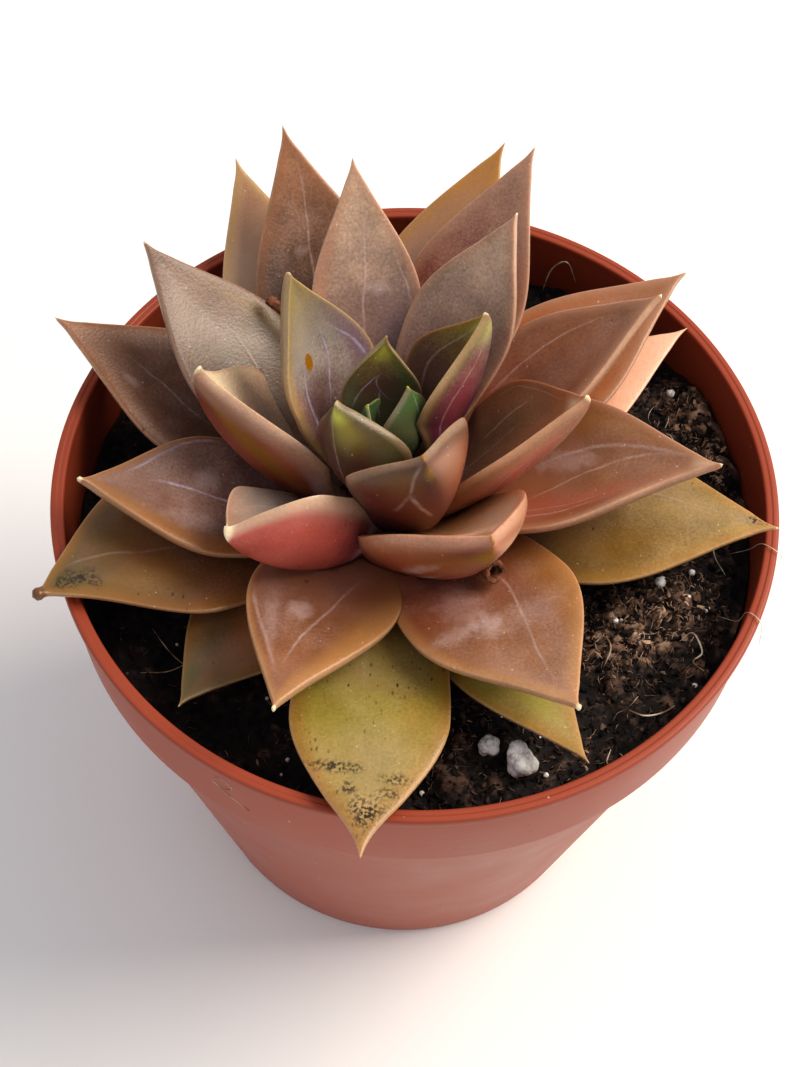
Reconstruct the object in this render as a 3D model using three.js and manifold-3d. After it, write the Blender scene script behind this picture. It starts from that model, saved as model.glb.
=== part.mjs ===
// A bronze rosette succulent in a round moulded plastic nursery pot filled with peat mix.
// Millimetres, +Z up. The origin is the middle of the pot's flat underside.
import * as THREE from 'three';
import { mergeVertices } from 'three/addons/utils/BufferGeometryUtils.js';
import Module from 'manifold-3d';

const wasm = await Module();
wasm.setup();

// ---------------------------------------------------------------- driving dimensions

const GAP = 0.3;              // clearance between neighbouring pieces

const POT = {
  height: 93,
  rimRadius: 52.5,            // the pot is a 10.5 cm one
  baseRadius: 36.5,
  wall: 1.2,
  floor: 1.6,
  lipWidth: 2.0,
  lipHeight: 1.8,
  grooveDepth: 0.4,
  collarHeight: 16,           // from the top of the lip to the foot of the straight band under it
  collarTopRadius: 52.1,
  collarFootRadius: 51.6,
  stepWidth: 1.5,             // how far the body steps in under the collar
  edge: 0.6,                  // rounding of the lip and of the collar's foot
  footRound: 2.0,
  floorRound: 1.5,
  sides: 56,
  drainHoles: 8,
  drainRadius: 3,
  drainCircle: 27,
};

const SOIL = {
  levelLeft: 80.3,            // the peat stands higher on the right
  levelRight: 83.0,
  lump: 0.6,                  // height of its lumps either way
  rings: [46, 41.5, 37, 32.5, 28, 23.5, 19, 14.5, 10],    // radii of the surface's points
  sides: 40,
};

const STEM = {
  x: -4.5,
  y: -1,
  // radius at each height, from the buried foot up
  profile: [[62, 3.5], [66, 5], [86, 5.6], [92, 5.3], [97, 4.6], [101, 3.6], [104, 2.4], [105.5, 1.2]],
  top: 106.1,                 // growing point
  sides: 16,
};

// The leaves from the growing point outward, each set by hand: place, tip, height of the root on the stem,
// greatest width, greatest thickness, bow (how far the midline sags under the line from root to tip) and
// cup (how far the margins rise, as a share of the half width). Some also have a roll about their own
// length, a sway (how far the midline bends to the left, seen from the stem), a turn (degrees from the tip's
// direction to that in which the leaf leaves the stem), or a widest place and a taper of their own.
const LEAVES = [
  ['bud_1', [-7.5, -1, 113], 104, 5, 1.3, 0.3, 0.2],
  ['bud_2', [-2, 1, 114.5], 103.5, 9, 1.8, 0.3, 0.3, { turn: -60 }],
  ['inner_1', [-5, 7, 118], 101.5, 12, 2.6, 1, 0.3, { sway: 0.5, widest: 0.45 }],
  ['inner_2', [-11, -4, 118], 100, 13, 3, 2.5, 0.5, { sway: 0.5, turn: 50, widest: 0.45 }],
  ['inner_3', [8, 8, 122], 99.5, 14, 3.2, 2.5, 0.5, { roll: -28, turn: -30 }],
  ['inner_4', [0.2, -14.5, 121], 94.5, 18, 5.5, 1.5, 0.55, { roll: 14, sway: 0.8, widest: 0.62, taper: 0 }],
  ['inner_5', [-18, 12, 124], 98.5, 14.5, 3.8, 3, 0.3, { sway: -2.8, turn: 20 }],
  ['middle_1', [12, 24, 124], 96.5, 16, 4.2, 3.5, 0.25, { sway: 1 }],
  ['middle_2', [-31, 1.6, 116], 92.5, 20, 5, 2, 0.55, { roll: 35, turn: 20, widest: 0.4, taper: 1 }],
  ['middle_3', [22.6, -1, 116], 93, 20.5, 4.2, 1.5, 0.5, { roll: -20, turn: -15, widest: 0.42, taper: 0.8 }],
  ['middle_4', [-11, 35, 122], 94.5, 16, 4.4, 3.5, 0.2, { sway: -0.3 }],
  ['middle_5', [-25.2, -20, 108], 91.5, 16, 6.5, 2, 0.6, { roll: 47, turn: 25, widest: 0.5, taper: 0.1 }],
  ['middle_6', [9.2, -23.7, 118], 88, 20, 7, 1.5, 0.35, { roll: 18, sway: 1, turn: -10, widest: 0.6, taper: 0 }],
  ['outer_1', [-39.6, 23, 116], 91, 19, 4.6, 3, 0.15],
  ['outer_2', [33.5, 20.8, 112], 91.5, 19.5, 4.6, 2.5, 0.25, { roll: -15, sway: 1.6 }],
  ['outer_3', [15.3, 43.5, 117], 90, 19, 4.6, 4.5, 0.15, { sway: 2 }],
  ['outer_4', [-22, 47, 115.5], 89.5, 21, 4.6, 5, 0.15, { sway: -0.5 }],
  ['outer_5', [-46.3, -9.2, 104], 89.5, 20, 4.6, 1.5, 0.15, { sway: 0.7 }],
  ['outer_6', [41.3, -5, 108], 90.5, 25, 4.6, 0.5, 0.3, { roll: -8, sway: 1.3, widest: 0.45, taper: 0.6 }],
  ['outer_7', [-17, -42.6, 104], 88.5, 21, 4.8, 0, 0.1, { sway: -1.2, widest: 0.42 }],
  ['outer_8', [21.8, -40.6, 104], 89, 24.5, 4.8, 0, 0.1, { sway: 0.8 }],
  ['outer_9', [39.8, 35, 100.5], 88.5, 21, 4.2, 1, 0.1, { sway: 1.5 }],
  ['outer_10', [-53.5, 19, 103], 88, 21, 4.4, 2, 0.1, { sway: -1.2 }],
  ['low_1', [11.6, 53, 108], 87.5, 20, 4, 3, 0.1, { sway: 3.5 }],
  ['low_2', [-30, 51, 104], 87, 20, 4, 2, 0.1, { sway: 1 }],
  ['low_3', [-51.5, -23.6, 96], 87, 26, 4, -0.5, 0.05, { sway: -3 }],
  ['low_4', [51.3, -7.3, 96], 87, 24, 4, 0, 0.05, { sway: 1 }],
  ['low_5', [-5.2, -58.8, 96], 86.5, 21.5, 4, -1.5, 0, { widest: 0.6 }],
  ['low_6', [24.3, -42.7, 92], 85.5, 16, 3, -0.5, 0],
  ['low_7', [40.8, 30, 93.2], 85.5, 17, 3, 0, 0.05],
  ['low_8', [-48.2, 0, 89.5], 85.5, 12, 3, 0, 0],
  ['low_9', [-31, -36, 89.5], 85.5, 18, 3, 0, 0, { sway: -2 }],
  ['low_10', [-4, 38, 89], 85, 14, 3, 0, 0.1],
].map(([place, tip, root, width, thick, bow, cup, rest]) => (
  { name: `leaf_${place}`, tip, root, width, thick, bow, cup, ...rest }
));

// What is left of two old flower stalks: dry hollow stubs between the leaves.
const STUBS = [
  { name: 'front', from: [3, -9.5, 93], to: [10.4, -16.6, 98.6], radius: 1.6, bore: 0.9, boreDepth: 4 },
  { name: 'back', from: [-11, 9.5, 101.5], to: [-22.3, 20.4, 109.5], radius: 1, bore: 0.5, boreDepth: 2 },
];

// Loose grains of perlite, sunk a little into the peat.
const PERLITE = [
  { name: 'large', at: [15.8, -39.3], radius: 2.8, sunk: 1, seed: 0.4 },
  { name: 'small', at: [11.3, -36.9], radius: 1.9, sunk: 0.7, seed: 2.1 },
];

const LEAF = {
  stations: [0, 0.12, 0.26, 0.4, 0.54, 0.67, 0.79, 0.9],    // shares of the length that have a cross-section
  around: 12,
  widest: 0.5,                // share of the length where the leaf is widest
  rootWidth: 0.5,             // width at the root, as a share of the greatest
  taper: 0.45,                // 0 is a rounded tip, 1 a drawn-out one
  rootThick: 0.45,            // thickness at the root, as a share of the greatest
  thickest: 0.4,              // share of the length from which the leaf has its full thickness
  upper: 0.22,                // share of the thickness that lies on the midline's upper side
  cupPower: 1.6,              // 1 is a V-shaped cup, 2 a round one
  cupFrom: 1 / 3,             // share of the length over which the cup opens
};

// ---------------------------------------------------------------- helpers

const group = new THREE.Group();

function material(color, roughness) {
  return new THREE.MeshStandardMaterial({ color, roughness, metalness: 0 });
}

function add(name, geometry, mat) {
  const mesh = new THREE.Mesh(geometry, mat);
  mesh.name = name;
  group.add(mesh);
}

// Turns a closed geometry into a solid: shared corners are merged and flat triangles dropped.
function toSolid(geometry) {
  const plain = geometry.clone();
  plain.deleteAttribute('normal');
  plain.deleteAttribute('uv');
  const merged = mergeVertices(plain, 1e-4);
  const index = merged.index.array;
  const corners = [];
  for (let i = 0; i < index.length; i += 3) {
    const [a, b, c] = [index[i], index[i + 1], index[i + 2]];
    if (a !== b && b !== c && c !== a) corners.push(a, b, c);
  }
  return new wasm.Manifold(new wasm.Mesh({
    numProp: 3,
    vertProperties: new Float32Array(merged.attributes.position.array),
    triVerts: new Uint32Array(corners),
  }));
}

function toGeometry(solid) {
  const mesh = solid.getMesh();
  const geometry = new THREE.BufferGeometry();
  geometry.setAttribute('position', new THREE.BufferAttribute(new Float32Array(mesh.vertProperties), 3));
  geometry.setIndex(new THREE.BufferAttribute(new Uint32Array(mesh.triVerts), 1));
  geometry.computeVertexNormals();
  return geometry;
}

// A profile of [radius, height] pairs turned round the Z axis.
function turned(profile, sides, x = 0, y = 0) {
  const points = profile.map(([r, z]) => new THREE.Vector2(r, z));
  const geometry = new THREE.LatheGeometry(points, sides);
  geometry.rotateX(Math.PI / 2);
  geometry.translate(x, y, 0);
  return geometry;
}

function mix(a, b, t) {
  return a + (b - a) * t;
}

// Value at z of a list of [z, value] pairs.
function along(pairs, z) {
  const last = pairs.length - 1;
  if (z <= pairs[0][0]) return pairs[0][1];
  if (z >= pairs[last][0]) return pairs[last][1];
  const i = pairs.findIndex(([height]) => height > z);
  const [z0, v0] = pairs[i - 1];
  const [z1, v1] = pairs[i];
  return mix(v0, v1, (z - z0) / (z1 - z0));
}

// ---------------------------------------------------------------- pot

const collarFoot = POT.height - POT.collarHeight;
const bodyTopRadius = POT.collarFootRadius - POT.stepWidth;
const lipFoot = POT.height - POT.lipHeight;

function bodyRadius(z) {
  return mix(POT.baseRadius, bodyTopRadius, z / collarFoot);
}

// Inside radius of the pot at height z.
function innerRadius(z) {
  if (z < collarFoot) return bodyRadius(z) - POT.wall;
  return mix(POT.collarFootRadius, POT.collarTopRadius, (z - collarFoot) / POT.collarHeight) - POT.wall;
}

function makePot() {
  const { baseRadius, collarFootRadius, collarTopRadius, rimRadius } = POT;
  const { edge, floor, floorRound, footRound, height } = POT;
  const lipInner = rimRadius - POT.lipWidth;
  const outer = [
    [0, 0],
    [baseRadius - footRound, 0],
    [baseRadius - edge / 2, footRound - edge],
    [bodyRadius(footRound * 2), footRound * 2],
    [bodyRadius(collarFoot - edge), collarFoot - edge],
    [collarFootRadius - edge / 2, collarFoot],
    [collarFootRadius, collarFoot + edge],
    [collarTopRadius, lipFoot - edge],
    [collarTopRadius - POT.grooveDepth, lipFoot],
    [rimRadius, lipFoot + edge],
    [rimRadius, height - edge],
    [rimRadius - edge, height],
    [lipInner + edge, height],
  ];
  const inner = [
    [lipInner, height - edge],
    [innerRadius(collarFoot), collarFoot],
    [innerRadius(collarFoot - floorRound), collarFoot - floorRound],
    [innerRadius(floor + floorRound), floor + floorRound],
    [innerRadius(floor) - floorRound, floor],
    [0, floor],
  ];
  let pot = toSolid(turned([...outer, ...inner], POT.sides));
  const drill = [[0, -GAP], [POT.drainRadius, -GAP], [POT.drainRadius, floor + GAP], [0, floor + GAP]];
  for (let i = 0; i < POT.drainHoles; i++) {
    const angle = (i + 0.5) / POT.drainHoles * Math.PI * 2;
    const [x, y] = [POT.drainCircle * Math.cos(angle), POT.drainCircle * Math.sin(angle)];
    pot = pot.subtract(toSolid(turned(drill, 12, x, y)));
  }
  return pot;
}

// ---------------------------------------------------------------- soil

function soilHeight(x, y) {
  const level = mix(SOIL.levelLeft, SOIL.levelRight, THREE.MathUtils.smoothstep(x, -30, 35));
  const broad = Math.sin(0.21 * x + 0.13 * y + 1.1) * Math.cos(0.18 * y - 0.11 * x);
  const fine = Math.sin(0.47 * x - 0.31 * y + 2) * Math.sin(0.39 * y + 0.23 * x);
  return level + SOIL.lump * (broad + fine);
}

function makeSoil() {
  const bottom = POT.floor + GAP;
  const bevel = POT.floorRound;
  const wall = (z) => innerRadius(z) - GAP;
  const surface = POT.height;    // stands for the soil's own height, set point by point below
  const profile = [
    [0, bottom],
    [wall(bottom) - bevel * 1.2, bottom],
    [wall(bottom + bevel), bottom + bevel],
    [wall(collarFoot - bevel), collarFoot - bevel],
    [wall(collarFoot), surface],
    ...SOIL.rings.map((r) => [r, surface]),
    [0, surface],
  ];
  const geometry = turned(profile, SOIL.sides);
  const p = geometry.attributes.position;
  for (let i = 0; i < p.count; i++) {
    if (p.getZ(i) === surface) p.setZ(i, soilHeight(p.getX(i), p.getY(i)));
  }
  return toSolid(geometry);
}

// ---------------------------------------------------------------- stem

function stemRadius(z) {
  return along(STEM.profile, z);
}

function makeStem(extra = 0) {
  const side = STEM.profile.map(([z, r], i) => [r + extra, i === 0 ? z - extra : z]);
  const [[, foot]] = side;
  return toSolid(turned([[0, foot], ...side, [0, STEM.top + extra]], STEM.sides, STEM.x, STEM.y));
}

// ---------------------------------------------------------------- leaves

// Half width of a leaf at share t of its length, as a share of the greatest.
function leafWidth(t, { widest = LEAF.widest, taper = LEAF.taper }) {
  if (t < widest) return mix(LEAF.rootWidth, 1, Math.sin(t / widest * Math.PI / 2));
  const u = (t - widest) / (1 - widest);
  return mix(Math.cos(u * Math.PI / 2), (1 + Math.cos(u * Math.PI)) / 2, taper);
}

// Thickness of a leaf at share t of its length, as a share of the greatest.
function leafThickness(t) {
  const grown = Math.sin(Math.min(t / LEAF.thickest, 1) * Math.PI / 2);
  return mix(LEAF.rootThick, 1, grown) * Math.sqrt(1 - t ** 3);
}

// Builds a leaf's closed surface; extra grows it on all sides.
function leafGeometry(leaf, extra = 0) {
  const { bow, cup, roll = 0, sway = 0, turn = 0 } = leaf;
  const tip = new THREE.Vector3(...leaf.tip);
  const azimuth = Math.atan2(tip.y - STEM.y, tip.x - STEM.x) + THREE.MathUtils.degToRad(turn);
  const outward = new THREE.Vector3(Math.cos(azimuth), Math.sin(azimuth), 0);
  const root = new THREE.Vector3(STEM.x, STEM.y, leaf.root);
  root.addScaledVector(outward, stemRadius(leaf.root) + GAP);
  const chord = tip.clone().sub(root).normalize();
  const left = new THREE.Vector3(-outward.y, outward.x, 0);
  left.addScaledVector(chord, -left.dot(chord)).normalize();
  const under = new THREE.Vector3().crossVectors(left, chord);
  root.addScaledVector(chord, -extra);
  tip.addScaledVector(chord, extra);
  const middle = root.clone().add(tip).multiplyScalar(0.5);
  middle.addScaledVector(under, 2 * bow).addScaledVector(left, 2 * sway);
  const midline = new THREE.QuadraticBezierCurve3(root, middle, tip);
  const points = [];
  for (const t of LEAF.stations) {
    const centre = midline.getPoint(t);
    const tangent = midline.getTangent(t);
    const s = left.clone().addScaledVector(tangent, -left.dot(tangent)).normalize();
    s.applyAxisAngle(tangent, THREE.MathUtils.degToRad(roll));
    const n = new THREE.Vector3().crossVectors(tangent, s);
    const half = leaf.width / 2 * leafWidth(t, leaf) + extra;
    const thick = leaf.thick * leafThickness(t);
    const rim = cup * half * Math.min(1, t / LEAF.cupFrom);
    for (let k = 0; k < LEAF.around; k++) {
      const angle = k / LEAF.around * Math.PI * 2;
      const across = Math.cos(angle);
      const rise = Math.sin(angle);
      const depth = (rise > 0 ? LEAF.upper : 1 - LEAF.upper) * thick + extra;
      const lift = rim * Math.abs(across) ** LEAF.cupPower + depth * rise;
      points.push(centre.clone().addScaledVector(s, half * across).addScaledVector(n, lift));
    }
  }
  const rings = LEAF.stations.length;
  const ring = LEAF.around;
  const rootIndex = points.push(root.clone()) - 1;
  const tipIndex = points.push(tip.clone()) - 1;
  const faces = [];
  for (let k = 0; k < ring; k++) {
    const next = (k + 1) % ring;
    faces.push(rootIndex, next, k);
    for (let j = 0; j < rings - 1; j++) {
      const [a, b] = [j * ring + k, j * ring + next];
      faces.push(a, b, b + ring, a, b + ring, a + ring);
    }
    faces.push((rings - 1) * ring + k, (rings - 1) * ring + next, tipIndex);
  }
  const geometry = new THREE.BufferGeometry().setFromPoints(points);
  geometry.setIndex(faces);
  return geometry;
}

// Cuts away what lies inside any of the others, and keeps the largest piece that is left.
function clearOf(solid, others) {
  let left = solid;
  for (const other of others) {
    if (left.intersect(other).volume() > 0) left = left.subtract(other);
  }
  return left.decompose().sort((a, b) => b.volume() - a.volume())[0];
}

const stemRoom = makeStem(GAP);
const grownLeaves = [];

// Leaves that press on each other take each other's shape: each gives way to those before it in the list,
// which stand above it.
function makeLeaves() {
  return LEAVES.map((leaf) => {
    const solid = clearOf(toSolid(leafGeometry(leaf)), [stemRoom, ...grownLeaves]);
    grownLeaves.push(toSolid(leafGeometry(leaf, GAP)));
    return { name: leaf.name, solid };
  });
}

// ---------------------------------------------------------------- stalk stubs and perlite

function makeStub(stub) {
  const from = new THREE.Vector3(...stub.from);
  const axis = new THREE.Vector3(...stub.to).sub(from);
  const length = axis.length();
  const { radius, bore, boreDepth } = stub;
  const outer = [[0, 0], [radius * 0.8, 0], [radius * 0.95, length * 0.3], [radius * 0.9, length * 0.75]];
  const mouth = [[radius, length], [bore, length], [bore * 0.9, length - boreDepth], [0, length - boreDepth]];
  const geometry = turned([...outer, ...mouth], 10);
  const up = new THREE.Vector3(0, 0, 1);
  geometry.applyQuaternion(new THREE.Quaternion().setFromUnitVectors(up, axis.normalize()));
  geometry.translate(...stub.from);
  return toSolid(geometry);
}

// A lumpy grain, a little flattened; extra grows it on all sides.
function makeGrain(grain, extra = 0) {
  const geometry = new THREE.IcosahedronGeometry(1, 1);
  const p = geometry.attributes.position;
  const [x, y] = grain.at;
  const z = soilHeight(x, y) + grain.radius - grain.sunk;
  for (let i = 0; i < p.count; i++) {
    const v = new THREE.Vector3().fromBufferAttribute(p, i);
    const lumps = Math.sin(3.1 * v.x + grain.seed) * Math.cos(2.7 * v.y - grain.seed);
    const dents = Math.sin(4.3 * v.z + grain.seed);
    v.multiplyScalar(grain.radius * (0.94 + 0.09 * (lumps + dents)) + extra);
    p.setXYZ(i, x + v.x, y + v.y, z + v.z * 0.9);
  }
  return toSolid(geometry);
}

// ---------------------------------------------------------------- the assembly

const plastic = material(0x9c4a36, 0.45);
const peat = material(0x1d1613, 0.95);
const bark = material(0x6f4a36, 0.8);
const dryStalk = material(0x5a3524, 0.75);
const perlite = material(0xd9d7d2, 0.9);
const leafColours = {
  bud: material(0x3f7040, 0.5),
  inner: material(0x7d7a4c, 0.5),
  middle: material(0x96705f, 0.5),
  outer: material(0xa9765a, 0.5),
  low: material(0xb59a4f, 0.5),
};

add('pot', toGeometry(makePot()), plastic);
let soil = makeSoil().subtract(stemRoom);
for (const grain of PERLITE) soil = soil.subtract(makeGrain(grain, GAP));
add('soil', toGeometry(soil), peat);
add('stem', toGeometry(makeStem()), bark);
for (const { name, solid } of makeLeaves()) add(name, toGeometry(solid), leafColours[name.split('_')[1]]);
for (const stub of STUBS) {
  add(`stalk_stub_${stub.name}`, toGeometry(clearOf(makeStub(stub), grownLeaves)), dryStalk);
}
for (const grain of PERLITE) add(`perlite_${grain.name}`, toGeometry(makeGrain(grain)), perlite);

export default group;
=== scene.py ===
"""A bronze rosette succulent in a moulded nursery pot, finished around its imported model.

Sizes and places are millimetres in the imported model's own frame, and become metres when a mesh is made.
"""
import math
import random
from types import SimpleNamespace

import bmesh
import bpy
import numpy as np
from mathutils import Matrix, Vector, noise
from mathutils.bvhtree import BVHTree
from mathutils.kdtree import KDTree


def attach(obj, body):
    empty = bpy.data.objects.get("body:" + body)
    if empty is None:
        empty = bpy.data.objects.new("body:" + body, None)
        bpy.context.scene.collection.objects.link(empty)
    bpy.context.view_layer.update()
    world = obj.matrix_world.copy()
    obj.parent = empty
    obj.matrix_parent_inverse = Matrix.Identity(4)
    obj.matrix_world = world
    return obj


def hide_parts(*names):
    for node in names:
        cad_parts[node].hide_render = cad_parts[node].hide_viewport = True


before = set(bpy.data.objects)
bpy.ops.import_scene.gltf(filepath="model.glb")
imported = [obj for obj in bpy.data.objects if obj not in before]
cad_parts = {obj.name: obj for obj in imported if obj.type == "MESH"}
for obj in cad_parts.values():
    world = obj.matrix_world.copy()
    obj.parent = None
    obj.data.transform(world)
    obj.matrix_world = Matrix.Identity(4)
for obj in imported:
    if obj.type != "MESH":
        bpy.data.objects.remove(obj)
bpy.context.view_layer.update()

MM = 0.001

# ---------------------------------------------------------------- sizes shared with the solids

GAP = 0.1                       # clearance between leaves that press on each other

POT = dict(
    height=93, rim_radius=52.5, base_radius=36.5, wall=1.2, floor=1.6,
    lip_width=2.0, lip_height=1.8, groove=0.4, collar_height=16,
    collar_top_radius=52.1, collar_foot_radius=51.6, step_width=1.5,
    drain_holes=8, drain_radius=3, drain_circle=27,
)
COLLAR_FOOT = POT["height"] - POT["collar_height"]

SOIL = dict(level_left=80.3, level_right=83.0, lump=0.6, wall_gap=0.3)

STEM = dict(
    x=-4.5, y=-1, top=106.1,
    profile=[(62, 3.5), (66, 5), (86, 5.6), (92, 5.3), (97, 4.6), (101, 3.6), (104, 2.4), (105.5, 1.2)],
)

# widest and thickest are shares of the leaf's length. taper is 0 for a full tip and 1 for a drawn-out one.
# upper is the share of the thickness above the margins, which rise by the cup from cup_from on. plump below 1
# fills out the cross-section.
LEAF = dict(
    widest=0.5, root_width=0.5, taper=0.45, root_thick=0.45, thickest=0.4,
    upper=0.22, cup_power=1.6, cup_from=1 / 3, plump=0.82,
)
STATIONS = 52                   # rings of points along a leaf
AROUND = 48                     # points in a ring
KEEL = 0.1                      # how far the underside's middle stands out towards the tip, as a share
WAVE = 0.22                     # unevenness of a leaf's surface
WAVE_LENGTH = 9.0

# ---------------------------------------------------------------- colours, sRGB

HUES = {
    "bud green": "#4C7040", "deep green": "#465C44", "sage": "#67694C", "lime": "#BDC25A",
    "moss": "#54502F", "leek": "#96893F", "olive": "#806A3F", "mustard": "#96712F", "straw": "#A08F62",
    "honey": "#B29767", "khaki": "#93846E", "dove": "#9E948B", "taupe": "#907667", "mauve": "#7D5C4E",
    "heather": "#7F6371", "lilac": "#B7ACC2", "plum": "#643B3C", "wine": "#66354A", "grape": "#4B1F33",
    "cocoa": "#573829", "umber": "#684A3D", "bark": "#513825", "maroon": "#743E31", "bronze": "#835739",
    "russet": "#885538", "brick": "#9E5340", "coral": "#B0745B", "rose": "#C1685E", "clay": "#966B4F",
    "salmon": "#B08A73", "tan": "#A8856F", "pale tan": "#D4B59A", "orange": "#A17342", "amber": "#AE8449",
    "apricot": "#BC9064", "peach": "#F4C2A7", "copper": "#A86C46", "drab": "#7A6A58", "cream": "#F3E3C2",
    "wax": "#BFA8A2", "rust": "#9A6C26", "scar": "#6B4A36", "dirt": "#33241A",
}


def linear(code):
    """An sRGB hex colour as linear RGBA."""
    parts = [int(code[i:i + 2], 16) / 255 for i in (1, 3, 5)]
    return (*[c / 12.92 if c <= 0.04045 else ((c + 0.055) / 1.055) ** 2.4 for c in parts], 1.0)


# ---------------------------------------------------------------- the leaves, near those of the solids
# The leaves of the rosette's heart are bent a little closer to the real ones here.
# place, tip, height of the root on the stem, greatest width, greatest thickness, bow below the straight line,
# rise of the margins as a share of the half width, and own shape: LEAF's values, or sway, roll and turn.

LEAVES = [
    ("bud_1", (-7, -1, 112.7), 105.6, 7.9, 1.3, 0.4, 0.33, dict(sway=0.5)),
    ("bud_2", (-1.9, 0.4, 115.3), 102.8, 9.4, 2.1, 0.65, 0.3, dict(roll=-5, turn=-60)),
    ("inner_1", (-4.9, 6.7, 117.7), 101.3, 11.3, 2.6, 0.7, 0.3,
     dict(sway=0.6, turn=5, widest=0.43, taper=0.5)),
    ("inner_2", (-11, -3.8, 117.3), 99.6, 14.6, 3.6, 2.6, 0.5, dict(roll=-6, sway=0.7, turn=45, taper=0)),
    ("inner_3", (8, 9, 120.9), 98.9, 15.1, 3.5, 1.6, 0.79, dict(roll=-11, sway=0.6, turn=-27, widest=0.47)),
    ("inner_4", (0.3, -14.8, 121.4), 94.3, 17.9, 5.2, 2, 0.63, dict(roll=12, sway=1.5, widest=0.68, taper=0)),
    ("inner_5", (-18.1, 11.9, 123.8), 97.2, 16.6, 3.8, 3.2, 0.4,
     dict(roll=-10, sway=-1.8, turn=19, widest=0.4)),
    ("middle_1", (12, 24, 124), 96.5, 16, 4.2, 3.5, 0.25, dict(sway=1)),
    ("middle_2", (-29.9, 1.9, 115.6), 89.9, 22, 5, 2.6, 0.48, dict(roll=30, turn=8, sway=-0.3, taper=0.68)),
    ("middle_3", (22.2, -0.6, 116.3), 91.4, 21.8, 4.1, 1.4, 0.46, dict(roll=-9, turn=-16, taper=0.33)),
    ("middle_4", (-11, 35, 122), 94.5, 16, 4.4, 3.5, 0.2, dict(sway=-0.3)),
    ("middle_5", (-25, -19.4, 109), 90.3, 16.7, 6.1, 0.7, 0.71,
     dict(roll=14, sway=1.3, turn=32, widest=0.68, taper=0)),
    ("middle_6", (9.5, -23.6, 116.9), 87.8, 22.7, 6.5, 1, 0.35,
     dict(roll=4, sway=1.1, turn=-15, widest=0.54, taper=0)),
    ("outer_1", (-39.6, 23, 116), 91, 19, 4.6, 3, 0.15, {}),
    ("outer_2", (33.5, 20.8, 112), 91.5, 19.5, 4.6, 2.5, 0.25, dict(roll=-15, sway=1.6)),
    ("outer_3", (15.3, 43.5, 117), 90, 19, 4.6, 4.5, 0.15, dict(sway=2)),
    ("outer_4", (-22, 47, 115.5), 89.5, 21, 4.6, 5, 0.15, dict(sway=-0.5)),
    ("outer_5", (-46.3, -9.2, 104), 89.5, 20, 4.6, 1.5, 0.15, dict(sway=0.7)),
    ("outer_6", (41.3, -5, 108), 90.5, 25, 4.6, 0.5, 0.3, dict(roll=-8, sway=1.3, widest=0.45, taper=0.6)),
    ("outer_7", (-17, -42.6, 104), 88.5, 21, 4.8, 0, 0.1, dict(sway=-1.2, widest=0.42)),
    ("outer_8", (21.8, -40.6, 104), 89, 24.5, 4.8, 0, 0.1, dict(sway=0.8)),
    ("outer_9", (39.8, 35, 100.5), 88.5, 21, 4.2, 1, 0.1, dict(sway=1.5)),
    ("outer_10", (-53.5, 19, 103), 88, 21, 4.4, 2, 0.1, dict(sway=-1.2)),
    ("low_1", (11.6, 53, 108), 87.5, 20, 4, 3, 0.1, dict(sway=3.5)),
    ("low_2", (-30, 51, 104), 87, 20, 4, 2, 0.1, dict(sway=1)),
    ("low_3", (-51.5, -23.6, 96), 87, 26, 4, -0.5, 0.05, dict(sway=-3)),
    ("low_4", (51.3, -7.3, 96), 87, 24, 4, 0, 0.05, dict(sway=1)),
    ("low_5", (-5.2, -58.8, 96), 86.5, 21.5, 4, -1.5, 0, dict(widest=0.6)),
    ("low_6", (24.3, -42.7, 92), 85.5, 16, 3, -0.5, 0, {}),
    ("low_7", (40.8, 30, 93.2), 85.5, 17, 3, 0, 0.05, {}),
    ("low_8", (-48.2, 0, 89.5), 85.5, 12, 3, 0, 0, {}),
    ("low_9", (-31, -36, 89.5), 85.5, 18, 3, 0, 0, dict(sway=-2)),
    ("low_10", (-4, 38, 89), 85, 14, 3, 0, 0.1, {}),
]

# Each leaf's looks. face and under are the colours of its two sides at the root, the middle and the tip. rim
# is the margin's colour, partly its own and partly a painted glow of light through the thin margin, and band
# its width in mm on the left and the right side, seen from the stem. bloom is the strength of the wax film.
# bead is the radius in mm of the hard point at the tip, point the share of the leaf over which it narrows to
# it, and mucro the point's colour. tints_and_painted_light are soft patches of another hue: along, across,
# reach along and across, hue and strength. Some are the leaf's own hues, and some are painted light and
# shade: a warm glow and pale facets where the lamp falls, darker hues where shade falls. across is 1 at the
# left margin and -1 at the right, and a patch or line on the underside has a negative width. veins are three
# (along, across) points that a line runs through, its half width in mm and its strength, and line is their
# hue. wax: thicker or rubbed places in the film, as such patches without a hue. smears: the same for dirt, on
# both sides. specks is how much dirt lies about, and blemish the middle of a dry spot.

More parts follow.
